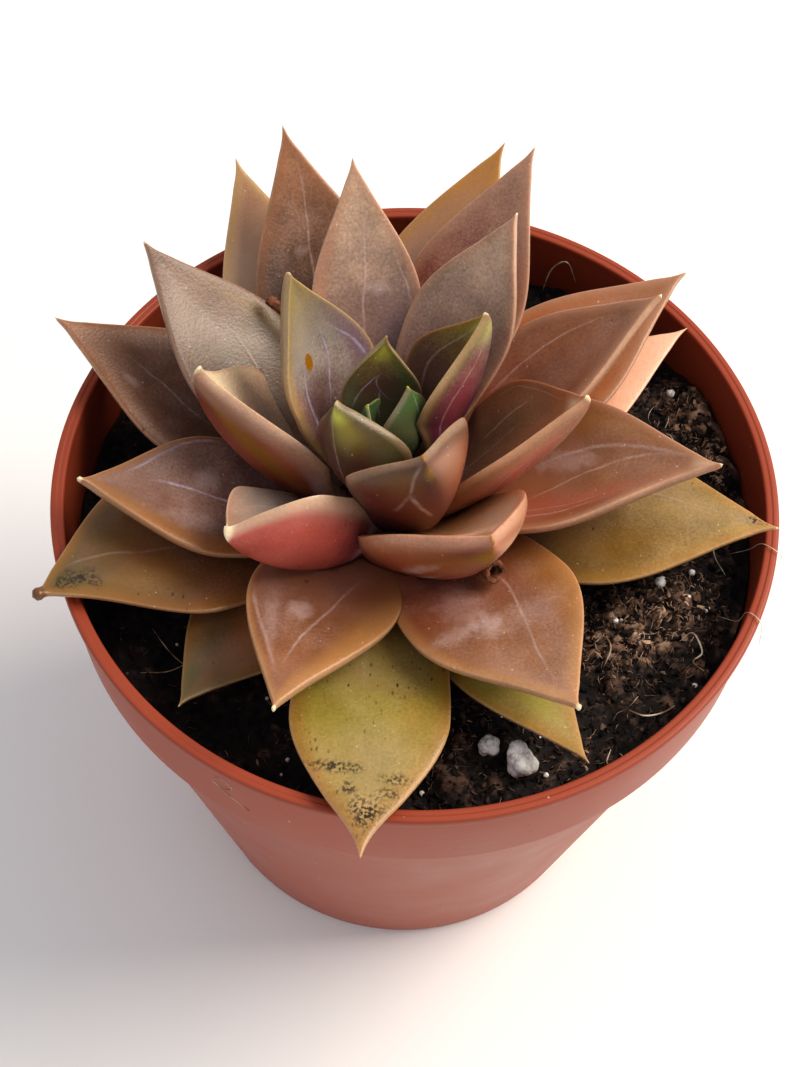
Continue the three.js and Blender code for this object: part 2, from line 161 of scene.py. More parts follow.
LOOKS = {
    "bud_1": dict(face=("deep green", "bud green", "bud green"),
        under=("deep green", "bud green", "bud green"), rim="bud green", band=(0.5, 0.5), mucro="lime"),
    "bud_2": dict(face=("deep green", "deep green", "bud green"), under=("deep green", "sage", "bud green"),
        rim="sage", band=(0.6, 0.6), mucro="lime", line="lilac",
        veins=[((0.1, 0.05), (0.5, 0.02), (0.95, 0), 0.22, 0.5),
               ((0.1, 0), (0.5, 0.05), (0.9, 0), -0.22, 0.5)]),
    "inner_1": dict(face=("sage", "umber", "leek"), under=("moss", "sage", "lime"), rim="sage",
        band=(0.5, 0.9), mucro="straw", line="lilac", point=0.2,
        tints_and_painted_light=[(0.62, -0.7, 0.25, 0.4, "bud green", 0.5), (0.5, 0.75, 0.25, 0.25, "bud green", 0.4),
               (0.85, 0.0, 0.12, 0.6, "lime", 0.5)],
        veins=[((0.31, 0.73), (0.49, 0.41), (0.61, 0.08), 0.28, 0.8),
               ((0.32, -0.29), (0.44, 0.03), (0.61, 0.08), 0.22, 0.55),
               ((0.13, 0.06), (0.3, 0.05), (0.44, 0.03), 0.26, 0.6)]),
    "inner_2": dict(face=("plum", "moss", "moss"), under=("maroon", "umber", "bark"), rim="moss",
        band=(1.3, 0.7), mucro="straw",
        tints_and_painted_light=[(0.84, 0.35, 0.2, -0.5, "leek", 0.8), (0.93, 0.3, 0.08, -0.6, "lime", 0.6),
               (0.5, 0.8, 0.3, -0.3, "sage", 0.75), (0.6, -0.7, 0.4, -0.4, "plum", 0.6)],
        veins=[((0.3, 0.0), (0.6, 0.0), (0.97, 0.0), -0.22, 0.5)]),
    "inner_3": dict(face=("umber", "umber", "leek"), under=("grape", "wine", "khaki"), rim="olive",
        band=(0.8, 0.6), mucro="cream",
        tints_and_painted_light=[(0.9, -0.2, 0.12, 0.9, "lime", 0.45), (0.6, -0.85, 0.3, 0.3, "leek", 0.4),
               (0.92, -0.5, 0.1, -0.7, "lime", 0.4), (0.55, -0.6, 0.35, -0.35, "rose", 0.3)],
        veins=[((0.3, 0.6), (0.6, 0.62), (0.9, 0.3), 0.25, 0.5),
               ((0.2, -0.72), (0.5, -0.75), (0.9, -0.5), -0.2, 0.45)]),
    "inner_4": dict(face=("plum", "bronze", "straw"), under=("wine", "plum", "cocoa"), rim="umber",
        band=(1.2, 1.2), mucro="mustard",
        tints_and_painted_light=[(0.86, -0.65, 0.14, -0.4, "mustard", 0.35), (0.6, -0.5, 0.3, -0.7, "maroon", 0.8),
               (0.7, 0.55, 0.3, -0.45, "coral", 0.75), (0.88, 0.6, 0.15, -0.5, "tan", 0.6),
               (0.95, -0.05, 0.06, -0.3, "mustard", 0.8)],
        veins=[((0.8, -0.42), (0.9, -0.5), (0.97, -0.64), -0.3, 0.45),
               ((0.6, -0.57), (0.7, -0.5), (0.8, -0.42), -0.35, 0.35),
               ((0.6, -0.1), (0.68, -0.22), (0.8, -0.4), -0.6, 0.7)]),
    "inner_5": dict(face=("plum", "dove", "straw"), under=("wine", "mauve", "clay"), rim="straw",
        band=(1.6, 0.7), mucro="cream", line="lilac", blemish=(0.52, 0.2), bloom=0.6,
        tints_and_painted_light=[(0.5, -0.8, 0.3, 0.3, "heather", 0.8), (0.55, 0.9, 0.3, 0.18, "honey", 0.6),
               (0.3, 0.3, 0.16, 0.6, "plum", 0.5), (0.9, 0.3, 0.14, 0.8, "straw", 0.6),
               (0.4, 0.9, 0.2, 0.25, "coral", 0.35)],
        veins=[((0.27, 0.06), (0.46, -0.21), (0.66, -0.32), 0.25, 0.8),
               ((0.12, 0.55), (0.32, 0.55), (0.5, 0.4), 0.4, 0.75),
               ((0.36, -0.82), (0.5, -0.74), (0.64, -0.5), 0.4, 0.7)]),
    "middle_1": dict(face=("plum", "taupe", "pale tan"), under=("wine", "salmon", "tan"), rim="salmon",
        band=(1.3, 1.8), bloom=0.5, tints_and_painted_light=[(0.35, -0.6, 0.2, 0.4, "heather", 0.4)],
        veins=[((0.2, 0.1), (0.5, 0.05), (0.8, 0.0), 0.25, 0.25),
               ((0.3, -0.4), (0.6, -0.35), (0.85, -0.15), 0.25, 0.25)]),
    "middle_2": dict(face=("tan", "pale tan", "cream"), under=("maroon", "brick", "maroon"), rim="salmon",
        band=(1.6, 0.8), bead=0.3, bloom=0.4, line="lilac",
        tints_and_painted_light=[(0.62, 0.62, 0.4, -0.2, "mustard", 0.75), (0.5, 0.0, 0.3, -0.5, "coral", 0.35),
               (0.45, 0.0, 0.2, 0.6, "heather", 0.4), (0.3, 0.95, 0.16, -0.12, "lilac", 0.6)],
        veins=[((0.35, 0.1), (0.5, 0.25), (0.72, 0.45), 0.3, 0.6),
               ((0.3, 0.55), (0.5, 0.6), (0.8, 0.55), 0.25, 0.4)]),
    "middle_3": dict(face=("mauve", "clay", "copper"), under=("coral", "salmon", "salmon"), rim="clay",
        band=(1.4, 1.6), bead=0.25, bloom=0.2,
        tints_and_painted_light=[(0.85, -0.3, 0.15, 0.6, "apricot", 0.4), (0.6, -0.8, 0.35, 0.25, "orange", 0.8),
               (0.5, 0.4, 0.25, 0.3, "moss", 0.4), (0.6, -0.6, 0.3, -0.4, "rose", 0.7),
               (0.93, 0.0, 0.07, 1.0, "cream", 0.5)],
        veins=[((0.34, 0.42), (0.51, 0.55), (0.67, 0.65), 0.3, 0.5),
               ((0.2, 0.1), (0.39, 0.2), (0.6, 0.35), 0.3, 0.35),
               ((0.5, 0.88), (0.65, 0.86), (0.85, 0.6), 0.25, 0.4),
               ((0.48, -0.69), (0.6, -0.74), (0.7, -0.72), -0.2, 0.7),
               ((0.45, -0.45), (0.6, -0.55), (0.72, -0.7), -0.2, 0.6)]),
    "middle_4": dict(face=("plum", "taupe", "pale tan"), under=("brick", "salmon", "tan"), rim="salmon",
        band=(2.2, 1.8), bloom=0.5,
        tints_and_painted_light=[(0.35, -0.5, 0.2, 0.5, "heather", 0.35), (0.6, 0.85, 0.3, 0.2, "coral", 0.35)],
        veins=[((0.3, 0.15), (0.5, 0.06), (0.85, -0.2), 0.3, 0.6),
               ((0.48, -0.8), (0.56, -0.76), (0.68, -0.7), 0.3, 0.5)],
        wax=[(0.55, -0.25, 0.025, 0.28, 0.5)]),
    "middle_5": dict(face=("mauve", "dove", "tan"), under=("wine", "rose", "rose"), rim="pale tan",
        band=(0.6, 0.5), bead=0.42, bloom=0.9,
        tints_and_painted_light=[(0.6, 0.1, 0.4, -0.5, "brick", 0.3), (0.9, 0.0, 0.1, -0.8, "brick", 0.5),
               (0.5, -0.6, 0.35, -0.35, "wine", 0.35)],
        veins=[((0.3, -0.2), (0.6, -0.3), (0.9, -0.2), 0.25, 0.6),
               ((0.35, -0.5), (0.55, -0.6), (0.75, -0.6), 0.25, 0.6)],
        wax=[(0.27, 0.75, 0.035, -0.5, 0.8)]),
    "middle_6": dict(face=("coral", "apricot", "peach"), under=("maroon", "brick", "maroon"), rim="coral",
        band=(1.6, 0.8), mucro="mustard", bloom=0.3,
        tints_and_painted_light=[(0.75, 0.65, 0.3, 0.6, "pale tan", 0.85), (0.75, 0.6, 0.35, -0.45, "peach", 0.85),
               (0.93, -0.15, 0.11, -0.5, "mustard", 0.95), (0.93, -0.15, 0.1, 0.5, "mustard", 0.8),
               (0.75, -0.5, 0.2, -0.45, "orange", 0.45), (0.4, -0.3, 0.25, -0.5, "maroon", 0.6)],
        veins=[((0.6, 0.1), (0.8, 0.03), (0.97, 0), 0.3, 0.4)],
        wax=[(0.6, -0.6, 0.16, -0.1, 0.6), (0.5, -0.35, 0.12, -0.08, 0.6), (0.6, 0.5, 0.08, 0.08, 0.5)]),
    "outer_1": dict(face=("taupe", "drab", "taupe"), under=("mauve", "bronze", "tan"), rim="umber",
        band=(2.0, 2.2), bloom=0.5,
        tints_and_painted_light=[(0.45, 0.6, 0.2, 0.35, "cocoa", 0.4), (0.6, -0.8, 0.3, 0.25, "honey", 0.35)],
        veins=[((0.35, 0), (0.46, -0.09), (0.6, -0.2), 0.3, 0.4)], wax=[(0.45, 0.55, 0.12, 0.1, 0.3)]),
    "outer_2": dict(face=("maroon", "russet", "clay"), under=("salmon", "salmon", "orange"), rim="salmon",
        band=(1.6, 2.2), bloom=0.4,
        tints_and_painted_light=[(0.3, 0.6, 0.2, 0.5, "brick", 0.5), (0.5, 0.0, 0.15, 0.3, "umber", 0.4)],
        veins=[((0.35, 0.36), (0.61, 0.45), (0.8, 0.5), 0.28, 0.5)]),
    "outer_3": dict(face=("plum", "maroon", "tan"), under=("brick", "salmon", "orange"), rim="salmon",
        band=(1.8, 2.4), veins=[((0.4, 0.1), (0.6, 0.15), (0.8, 0.05), 0.25, 0.2)]),
    "outer_4": dict(face=("plum", "bark", "clay"), under=("brick", "salmon", "orange"), rim="clay",
        band=(2.2, 1.8), bloom=0.5, veins=[((0.5, 0.08), (0.75, -0.03), (0.9, -0.3), 0.3, 0.45)],
        wax=[(0.655, 0.22, 0.02, 0.14, 0.3)]),
    "outer_5": dict(face=("grape", "mauve", "mauve"), under=("brick", "bronze", "salmon"), rim="orange",
        band=(3.4, 1.2), bead=0.3, bloom=0.8, line="lilac",
        tints_and_painted_light=[(0.35, 0.2, 0.15, 0.8, "cocoa", 0.6), (0.6, 0.9, 0.35, 0.2, "russet", 0.5)],
        veins=[((0.4, 0.1), (0.57, -0.08), (0.72, -0.26), 0.35, 0.75),
               ((0.45, -0.9), (0.62, -0.86), (0.82, -0.6), 0.4, 0.5)],
        wax=[(0.52, -0.3, 0.06, 0.2, 0.45), (0.6, 0.5, 0.15, 0.2, 0.25)]),
    "outer_6": dict(face=("coral", "bronze", "clay"), under=("brick", "coral", "salmon"), rim="salmon",
        band=(1.4, 1.6), bloom=0.35,
        tints_and_painted_light=[(0.45, 0.2, 0.2, 0.35, "mauve", 0.5), (0.5, -0.6, 0.35, 0.3, "rose", 0.35),
               (0.7, 0.75, 0.3, 0.25, "orange", 0.5), (0.95, 0.0, 0.05, 1.0, "cream", 0.4)],
        veins=[((0.4, 0.15), (0.65, 0.38), (0.9, 0.5), 0.5, 0.45),
               ((0.35, -0.5), (0.58, -0.03), (0.85, 0.4), 0.4, 0.4),
               ((0.3, -0.76), (0.46, -0.74), (0.64, -0.7), 0.25, 0.55),
               ((0.3, -0.66), (0.46, -0.62), (0.66, -0.6), 0.22, 0.35)],
        wax=[(0.5, 0.15, 0.12, 0.16, 0.35)]),
    "outer_7": dict(face=("coral", "bronze", "clay"), under=("brick", "bronze", "salmon"), rim="apricot",
        band=(3.0, 0.9), bead=0.3, bloom=0.6,
        tints_and_painted_light=[(0.6, 0.75, 0.35, 0.3, "orange", 0.75), (0.5, -0.5, 0.25, 0.4, "mauve", 0.4),
               (0.85, 0.0, 0.12, 0.6, "clay", 0.4)],
        veins=[((0.3, 0.33), (0.59, 0.06), (0.8, -0.2), 0.35, 0.65),
               ((0.5, -0.92), (0.69, -0.74), (0.84, -0.5), 0.5, 0.5)],
        wax=[(0.54, -0.2, 0.06, 0.2, 0.6), (0.62, -0.6, 0.15, 0.14, 0.3)],
        smears=[(0.4, -0.3, 0.012, 0.04, 0.7)]),
    "outer_8": dict(face=("brick", "bronze", "tan"), under=("brick", "bronze", "salmon"), rim="apricot",
        band=(2.6, 1.8), bead=0.38, bloom=0.55,
        tints_and_painted_light=[(0.5, 0.75, 0.35, 0.3, "orange", 0.7), (0.75, 0.0, 0.2, 0.6, "clay", 0.5),
               (0.35, -0.3, 0.14, 0.5, "maroon", 0.5), (0.8, -0.7, 0.2, 0.3, "salmon", 0.5)],
        veins=[((0.35, 0.36), (0.57, 0.23), (0.86, -0.08), 0.35, 0.55)],
        wax=[(0.57, -0.2, 0.06, 0.2, 0.55), (0.55, -0.6, 0.035, 0.35, 0.35), (0.6, 0.3, 0.06, 0.5, 0.3),
             (0.46, -0.3, 0.14, 0.3, 0.3)]),
    "outer_9": dict(face=("brick", "copper", "clay"), under=("bronze", "salmon", "orange"), rim="salmon",
        band=(1.6, 1.6)),
    "outer_10": dict(face=("bark", "umber", "bronze"), under=("bronze", "bronze", "orange"), rim="clay",
        band=(2.6, 2.2), bloom=0.5, tints_and_painted_light=[(0.5, 0.3, 0.2, 0.5, "cocoa", 0.5)],
        veins=[((0.45, 0.3), (0.6, 0.15), (0.77, -0.05), 0.28, 0.4)], wax=[(0.72, 0.43, 0.04, 0.1, 0.3)]),
    "low_1": dict(face=("bronze", "tan", "orange"), under=("bronze", "orange", "amber"), rim="amber",
        band=(2.0, 2.0)),
    "low_2": dict(face=("olive", "pale tan", "clay"), under=("orange", "amber", "amber"), rim="honey",
        band=(2.0, 2.0)),
    "low_3": dict(face=("bark", "bronze", "moss"), under=("bronze", "bronze", "orange"), rim="orange",
        band=(2.2, 1.8), specks=0.35, bead=0.9, mucro="scar",
        tints_and_painted_light=[(0.7, 0.6, 0.2, 0.4, "mustard", 0.45), (0.45, 0.0, 0.15, 0.8, "bark", 0.5)],
        veins=[((0.5, 0.1), (0.68, 0.0), (0.88, -0.5), 0.35, 0.25)],
        smears=[(0.89, 0.15, 0.05, 0.45, 0.9), (0.83, 0.3, 0.03, 0.35, 0.7)]),
    "low_4": dict(face=("umber", "olive", "honey"), under=("bronze", "orange", "amber"), rim="amber",
        band=(1.8, 2.2), specks=0.1,
        tints_and_painted_light=[(0.55, -0.5, 0.2, 0.4, "mustard", 0.5), (0.7, 0.3, 0.2, 0.5, "honey", 0.35),
               (0.4, 0.2, 0.15, 0.7, "clay", 0.5), (0.93, 0.35, 0.06, 0.5, "dove", 0.5)],
        veins=[((0.55, 0.33), (0.7, 0.33), (0.88, 0.25), 0.35, 0.3)],
        smears=[(0.94, 0.35, 0.035, 0.5, 0.9)]),
    "low_5": dict(face=("clay", "leek", "honey"), under=("olive", "amber", "honey"), rim="orange",
        band=(2.6, 2.6), specks=1.0, point=0.16, mucro="honey",
        tints_and_painted_light=[(0.42, 0.55, 0.14, 0.35, "olive", 0.7), (0.45, -0.1, 0.12, 0.5, "straw", 0.5),
               (0.6, 0.6, 0.15, 0.3, "mustard", 0.35), (0.75, 0.1, 0.12, 0.5, "straw", 0.5)],
        veins=[((0.3, -0.05), (0.4, -0.1), (0.55, -0.1), 0.4, 0.2)],
        smears=[(0.885, 0.1, 0.045, 0.75, 1.0), (0.76, -0.5, 0.02, 0.5, 0.9),
                (0.79, 0.55, 0.018, 0.35, 0.8), (0.82, -0.35, 0.02, 0.22, 0.8),
                (0.83, 0.5, 0.02, 0.3, 0.8)]),
    "low_6": dict(face=("moss", "leek", "honey"), under=("olive", "amber", "honey"), rim="amber",
        band=(1.6, 1.6), specks=0.15, tints_and_painted_light=[(0.75, 0.0, 0.15, 0.5, "lime", 0.3)]),
    "low_7": dict(face=("tan", "peach", "peach"), under=("tan", "peach", "peach"), rim="peach",
        band=(1.8, 1.8), specks=0.1),
    "low_8": dict(face=("moss", "moss", "olive"), under=("moss", "moss", "olive"), rim="olive"),
    "low_9": dict(face=("moss", "copper", "moss"), under=("olive", "olive", "amber"), rim="olive",
        specks=0.3, tints_and_painted_light=[(0.7, -0.4, 0.2, 0.5, "moss", 0.6), (0.9, 0.3, 0.1, 0.5, "bronze", 0.5)]),
    "low_10": dict(face=("moss", "olive", "bronze"), under=("olive", "olive", "amber"), rim="bronze"),
}

# What is left of two old flower stalks.
STUBS = [
    dict(name="stalk_stub_front", start=(3, -10.5, 92.6), end=(11.3, -18.8, 99.8),
         radius=1.65, bore=0.95, depth=4),
    dict(name="stalk_stub_back", start=(-10.5, 13, 103.5), end=(-22.6, 21, 107),
         radius=0.8, bore=0.5, depth=2),
]

PERLITE = [
    dict(name="perlite_large", at=(15.8, -39.3), radius=2.8, sunk=1, lobes=4),
    dict(name="perlite_small", at=(11.3, -36.9), radius=1.9, sunk=0.7, lobes=8),
]

# Heaps of brown fibrous peat on the soil: middle, radius and height.
HEAPS = [
    ((33, -18), 8.5, 1.9), ((27, -22), 5, 1.6), ((40, -13), 6, 1.5), ((43, 21), 5.5, 2.6),
    ((46, 12), 4.5, 2.0), ((8, -34), 5, 1.1), ((5, -41), 4, 0.8), ((24, 45), 5, 0.8),
]

# Pale root hairs that lie on the soil, as points with the height of each above it.
HAIRS = [
    [(30.8, -30.9, 0.7), (33, -31.9, 1.0), (35.5, -31.3, 0.9), (37.4, -30, 0.6)],
    [(28.5, -36.3, 0.5), (27.9, -38.4, 0.9), (29.3, -39.6, 1.0), (30.4, -38.2, 0.8), (29.8, -36.7, 0.3)],
    [(38.5, -20, 0.6), (40.2, -19.2, 1.6), (41.8, -21.2, 1.2), (40.4, -22.8, 0.5), (42.3, -24, 0.3)],
    [(26.2, -21, 1.0), (27.6, -20.4, 2.0), (28.4, -22.4, 1.8), (27.6, -24.5, 0.8)],
    [(19.6, 45, 0.6), (20.6, 45.2, 5.2), (22.7, 44.2, 7.6), (24.5, 43.3, 3.6)],
    [(-37.3, -19.4, 0.5), (-34.5, -22.8, 0.6), (-31.7, -25.5, 0.4), (-28, -27, 0.3)],
    [(-38, -27, 0.4), (-34, -26.4, 0.6), (-30.5, -24.2, 0.4)],
    [(44, 4, 0.6), (45.2, 0, 1.4), (44.6, -4, 0.8), (46, -8, 0.4)],
]
# Two fine roots that hang over the rim at the right: points in the model's frame.
RIM_HAIRS = [
    [(44.2, -15.5, 84.5), (46.1, -18.4, 88.5), (46.5, -19, 92), (47.4, -20, 93.3), (48.3, -21.6, 93.3),
     (48, -24, 92.4)],
    [(46.6, -5, 84.5), (48.6, -6.5, 88.5), (49.4, -7.6, 92), (50.5, -8.9, 93.3), (51.8, -10, 93.3),
     (52.2, -10.8, 92.6)],
]
# A fine curly root stuck to the collar at the front left: angle round the pot in degrees, and height.
COLLAR_HAIR = [
    (-119, 88.5), (-117.5, 89.6), (-116, 87.6), (-117.8, 86), (-119.4, 86.8), (-117, 84.6), (-113.6, 82.2),
]
THICK_HAIRS = 5                 # how many of HAIRS, from the first on, are thick
FINE_HAIRS = dict(total=44, seed=3, reach=47, edge=49.3)

# height is where the wall's radius is read that the crumbs stay inside.
CRUMBS = dict(count=8500, seed=11, reach=49, height=84, wall_gap=0.4, radii=(0.14, 0.18, 0.24, 0.34, 0.5))
FIBRES = dict(count=2200, seed=5, reach=47.5, edge=49.2, shortest=0.4, longest=1.7)
GRAINS = dict(count=46, seed=23, reach=47, smallest=0.14, largest=0.34)
# The small white grains that show most: place and radius.
CLEAR_GRAINS = [
    (36.2, -10.5, 0.9), (41.0, -8.1, 0.55), (39.3, 23.9, 0.7), (29.5, -17.0, 0.45),
    (19.5, -40.5, 0.4), (40.5, -26.5, 0.4), (2.5, -43.5, 0.4),
]


# ---------------------------------------------------------------- numbers and meshes

def mix(a, b, t):
    return a + (b - a) * t


def smoothstep(x, low, high):
    u = min(max((x - low) / (high - low), 0.0), 1.0)
    return u * u * (3 - 2 * u)


def unit(v):
    return v / np.linalg.norm(v)


def spun(v, axis, degrees):
    """v turned about a unit axis."""
    a = math.radians(degrees)
    return v * math.cos(a) + np.cross(axis, v) * math.sin(a) + axis * (axis @ v) * (1 - math.cos(a))


def soil_height(x, y):
    """The solid soil's own surface."""
    level = mix(SOIL["level_left"], SOIL["level_right"], smoothstep(x, -30, 35))
    broad = math.sin(0.21 * x + 0.13 * y + 1.1) * math.cos(0.18 * y - 0.11 * x)
    fine = math.sin(0.47 * x - 0.31 * y + 2) * math.sin(0.39 * y + 0.23 * x)
    return level + SOIL["lump"] * (broad + fine)


def wall_radius(z):
    """The pot's outer radius, without the lip."""
    if z < COLLAR_FOOT:
        return mix(POT["base_radius"], POT["collar_foot_radius"] - POT["step_width"], z / COLLAR_FOOT)
    return mix(POT["collar_foot_radius"], POT["collar_top_radius"], (z - COLLAR_FOOT) / POT["collar_height"])


def stem_radius(z):
    heights, radii = zip(*STEM["profile"])
    return float(np.interp(z, heights, radii))


def make(name, points, faces, finish=None):
    """A smooth-shaded mesh object, from points in millimetres."""
    mesh = bpy.data.meshes.new(name)
    mesh.from_pydata([tuple(c * MM for c in p) for p in points], [], faces)
    mesh.polygons.foreach_set("use_smooth", [True] * len(mesh.polygons))
    piece = bpy.data.objects.new(name, mesh)
    bpy.context.scene.collection.objects.link(piece)
    if finish:
        mesh.materials.append(finish)
    return piece


def dress(piece, slot, *nodes):
    """Fixes a piece to the part and hides the solids that it stands for; slot is not used."""
    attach(piece, "root")
    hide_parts(*nodes)
    return piece


def baked(piece):
    """Applies a piece's modifiers."""
    graph = bpy.context.evaluated_depsgraph_get()
    mesh = bpy.data.meshes.new_from_object(piece.evaluated_get(graph))
    piece.modifiers.clear()
    old = piece.data
    piece.data = mesh
    bpy.data.meshes.remove(old)
    return piece


def cut(piece, cutters):
    """Cuts closed pieces out of a piece."""
    for cutter in cutters:
        boolean = piece.modifiers.new("cut", "BOOLEAN")
        boolean.operation = "DIFFERENCE"
        boolean.solver = "MANIFOLD"
        boolean.object = cutter
    return baked(piece)


def keep_largest(mesh):
    """Removes all but the largest connected part of a mesh."""
    group = list(range(len(mesh.vertices)))

    def top(i):
        while group[i] != i:
            group[i] = group[group[i]]
            i = group[i]
        return i

    for edge in mesh.edges:
        a, b = (top(i) for i in edge.vertices)
        group[a] = b
    roots = [top(i) for i in range(len(group))]
    largest = max(set(roots), key=roots.count)
    kept = [i for i, r in enumerate(roots) if r == largest]
    number = {old: new for new, old in enumerate(kept)}
    faces = [[number[i] for i in f.vertices] for f in mesh.polygons if f.vertices[0] in number]
    points = [tuple(mesh.vertices[i].co / MM) for i in kept]
    return points, faces


def ring_faces(rings, around):
    """Quads between rings of points, each ring of the same size."""
    faces = []
    for j in range(rings - 1):
        for k in range(around):
            a = j * around + k
            b = j * around + (k + 1) % around
            faces.append((a, b, b + around, a + around))
    return faces


def closed_faces(rings, around):
    """Faces of a body given as rings of points, then the point at its start and the one at its end."""
    faces = ring_faces(rings, around)
    start = rings * around
    last_ring = start - around
    for k in range(around):
        following = (k + 1) % around
        faces.append((start, following, k))
        faces.append((last_ring + k, last_ring + following, start + 1))
    return faces


def turned(profile, sides, x=0.0, y=0.0):
    """A profile of (radius, height) pairs that starts and ends on the axis, turned round it."""
    inner = profile[1:-1]
    points = []
    for r, z in inner:
        for k in range(sides):
            a = 2 * math.pi * k / sides
            points.append((x + r * math.cos(a), y + r * math.sin(a), z))
    points += [(x, y, profile[0][1]), (x, y, profile[-1][1])]
    return points, closed_faces(len(inner), sides)


def tube(path, radius, sides, taper):
    """A closed tube along points, thinner towards its ends."""
    path = [Vector(p) for p in path]
    points = []
    side = None
    for i, p in enumerate(path):
        ahead = path[min(i + 1, len(path) - 1)] - path[max(i - 1, 0)]
        ahead.normalize()
        side = ahead.orthogonal() if side is None else side - ahead * side.dot(ahead)
        side.normalize()
        other = ahead.cross(side)
        share = i / (len(path) - 1)
        r = radius * (1 - taper * abs(2 * share - 1) ** 3)
        for k in range(sides):
            a = 2 * math.pi * k / sides
            points.append(tuple(p + side * (r * math.cos(a)) + other * (r * math.sin(a))))
    faces = ring_faces(len(path), sides)
    end = (len(path) - 1) * sides
    faces.append(tuple(range(sides))[::-1])
    faces.append(tuple(end + k for k in range(sides)))
    return points, faces


def curve(points, steps=6):
    """A smooth path through points, by Catmull and Rom's rule."""
    p = [Vector(q) for q in points]
    p = [2 * p[0] - p[1], *p, 2 * p[-1] - p[-2]]
    path = []
    for i in range(1, len(p) - 2):
        for k in range(steps):
            t = k / steps
            path.append(0.5 * (2 * p[i] + (p[i + 1] - p[i - 1]) * t
                               + (2 * p[i - 1] - 5 * p[i] + 4 * p[i + 1] - p[i + 2]) * t * t
                               + (3 * p[i] - p[i - 1] - 3 * p[i + 1] + p[i + 2]) * t ** 3))
    return [*path, p[-2]]


def joined(parts):
    """Several (points, faces) as one."""
    points, faces = [], []
    for more, corners in parts:
        start = len(points)
        points.extend(more)
        faces.extend(tuple(start + i for i in face) for face in corners)
    return points, faces


# ---------------------------------------------------------------- material nodes

def node(tree, kind, inputs=None, stops=None, **settings):
    """Adds a shader node with its settings, its inputs as values or links, and a colour ramp's stops."""
    made = tree.nodes.new(f"ShaderNode{kind}")
    for key, value in settings.items():
        setattr(made, key, value)
    for key, value in (inputs or {}).items():
        if isinstance(key, int):
            socket = made.inputs[key]
        else:
            socket = next(s for s in made.inputs if s.name == key and s.enabled)
        if isinstance(value, bpy.types.Node):
            value = next(s for s in value.outputs if s.enabled)
        if isinstance(value, bpy.types.NodeSocket):
            tree.links.new(value, socket)
        else:
            socket.default_value = value
    if stops:
        elements = made.color_ramp.elements
        while len(elements) < len(stops):
            elements.new(0.5)
        for element, (place, code) in zip(elements, stops):
            element.position = place
            element.color = linear(code)
    return made


def finish_named(name, **sockets):
    """An empty material with one Principled shader, whose constant values are set on its own sockets."""
    material = bpy.data.materials.new(name)
    material.use_nodes = True
    tree = material.node_tree
    tree.nodes.clear()
    shader = node(tree, "BsdfPrincipled", sockets)
    node(tree, "OutputMaterial", {"Surface": shader.outputs["BSDF"]})
    return material, tree, shader


def per(size):
    """A texture's scale for features of this size in millimetres."""
    return 1 / (size * MM)


def dots(tree, spot, spacing, size, share):
    """Small specks of uneven size: one in each of a share of the cells of this spacing, in millimetres."""
    cells = node(tree, "TexVoronoi", {"Vector": spot, "Scale": per(spacing)})
    chance = node(tree, "SeparateColor", {0: cells.outputs["Color"]})
    chosen = node(tree, "Math", {0: chance.outputs[0], 1: share}, operation="LESS_THAN")
    sizes = {0: chance.outputs[1], 1: size * 1.3, 2: size * 0.4}
    larger = node(tree, "Math", sizes, operation="MULTIPLY_ADD")
    smaller = node(tree, "Math", {0: larger, 1: 0.5}, operation="MULTIPLY")
    edge = {"From Min": smaller, "From Max": larger, "To Min": 1.0, "To Max": 0.0}
    speck = node(tree, "MapRange", {"Value": cells.outputs["Distance"], **edge})
    return node(tree, "Math", {0: speck, 1: chosen}, operation="MULTIPLY")


# ---------------------------------------------------------------- leaf skin

SKIN_GRAIN = 0.4                # the skin's cells, drawn twice as coarse as they are, so that they show
SKIN_MOTTLE = 4.5
RAGGED = 1.4
GRIT = 0.45
WAX_CLOUD = 6.0
DUST_SPACING = 1.1
DIRT_SPACING = 0.75
# The pale line along a margin is a painted highlight where the rounded margin catches light.
HEM_HIGHLIGHT = 0.4                       # width of the pale line along a margin
DRY_SPOT = (0.04, 0.09)         # half length and half width of the one dry spot, as shares of its leaf
COLOUR_PLACES = (0.15, 0.55, 0.95)      # where along a leaf its three colours are pure


def read_skin(tree):
    """Where a point of skin lies on its leaf, and the unevenness that the layers of colour share."""
    at = node(tree, "Attribute", attribute_name="place").outputs["Vector"]
    span = node(tree, "Attribute", attribute_name="span").outputs["Vector"]
    along, across, rise = node(tree, "SeparateXYZ", {0: at}).outputs
    half, to_margin, to_tip = node(tree, "SeparateXYZ", {0: span}).outputs
    spot = node(tree, "TexCoord").outputs["Object"]
    turn = {"Value": rise, "From Min": -0.75, "From Max": 0.1}
    upper = node(tree, "MapRange", turn, interpolation_type="SMOOTHSTEP")
    mottle = node(tree, "TexNoise", {"Vector": spot, "Scale": per(SKIN_MOTTLE), "Detail": 3.0})
    grain = node(tree, "TexNoise", {"Vector": spot, "Scale": per(SKIN_GRAIN), "Detail": 1.0})
    uneven = node(tree, "Math", {0: mottle, 1: 0.3, 2: -0.15}, operation="MULTIPLY_ADD")
    stipple = node(tree, "Math", {0: grain, 1: 0.36, 2: -0.18}, operation="MULTIPLY_ADD")
    return SimpleNamespace(
        at=at, along=along, across=across, half=half, to_margin=to_margin, to_tip=to_tip, spot=spot,
        upper=upper, below=node(tree, "Math", {0: 1.0, 1: upper}, operation="SUBTRACT"),
        mottle=mottle, grain=grain, uneven=uneven, stipple=stipple,
        clouded=node(tree, "Math", {0: stipple, 1: uneven}, operation="ADD"),
        ragged=node(tree, "TexNoise", {"Vector": spot, "Scale": per(RAGGED), "Detail": 4.0}),
        cloud=node(tree, "TexNoise", {"Vector": spot, "Scale": per(WAX_CLOUD), "Detail": 3.0}),
    )


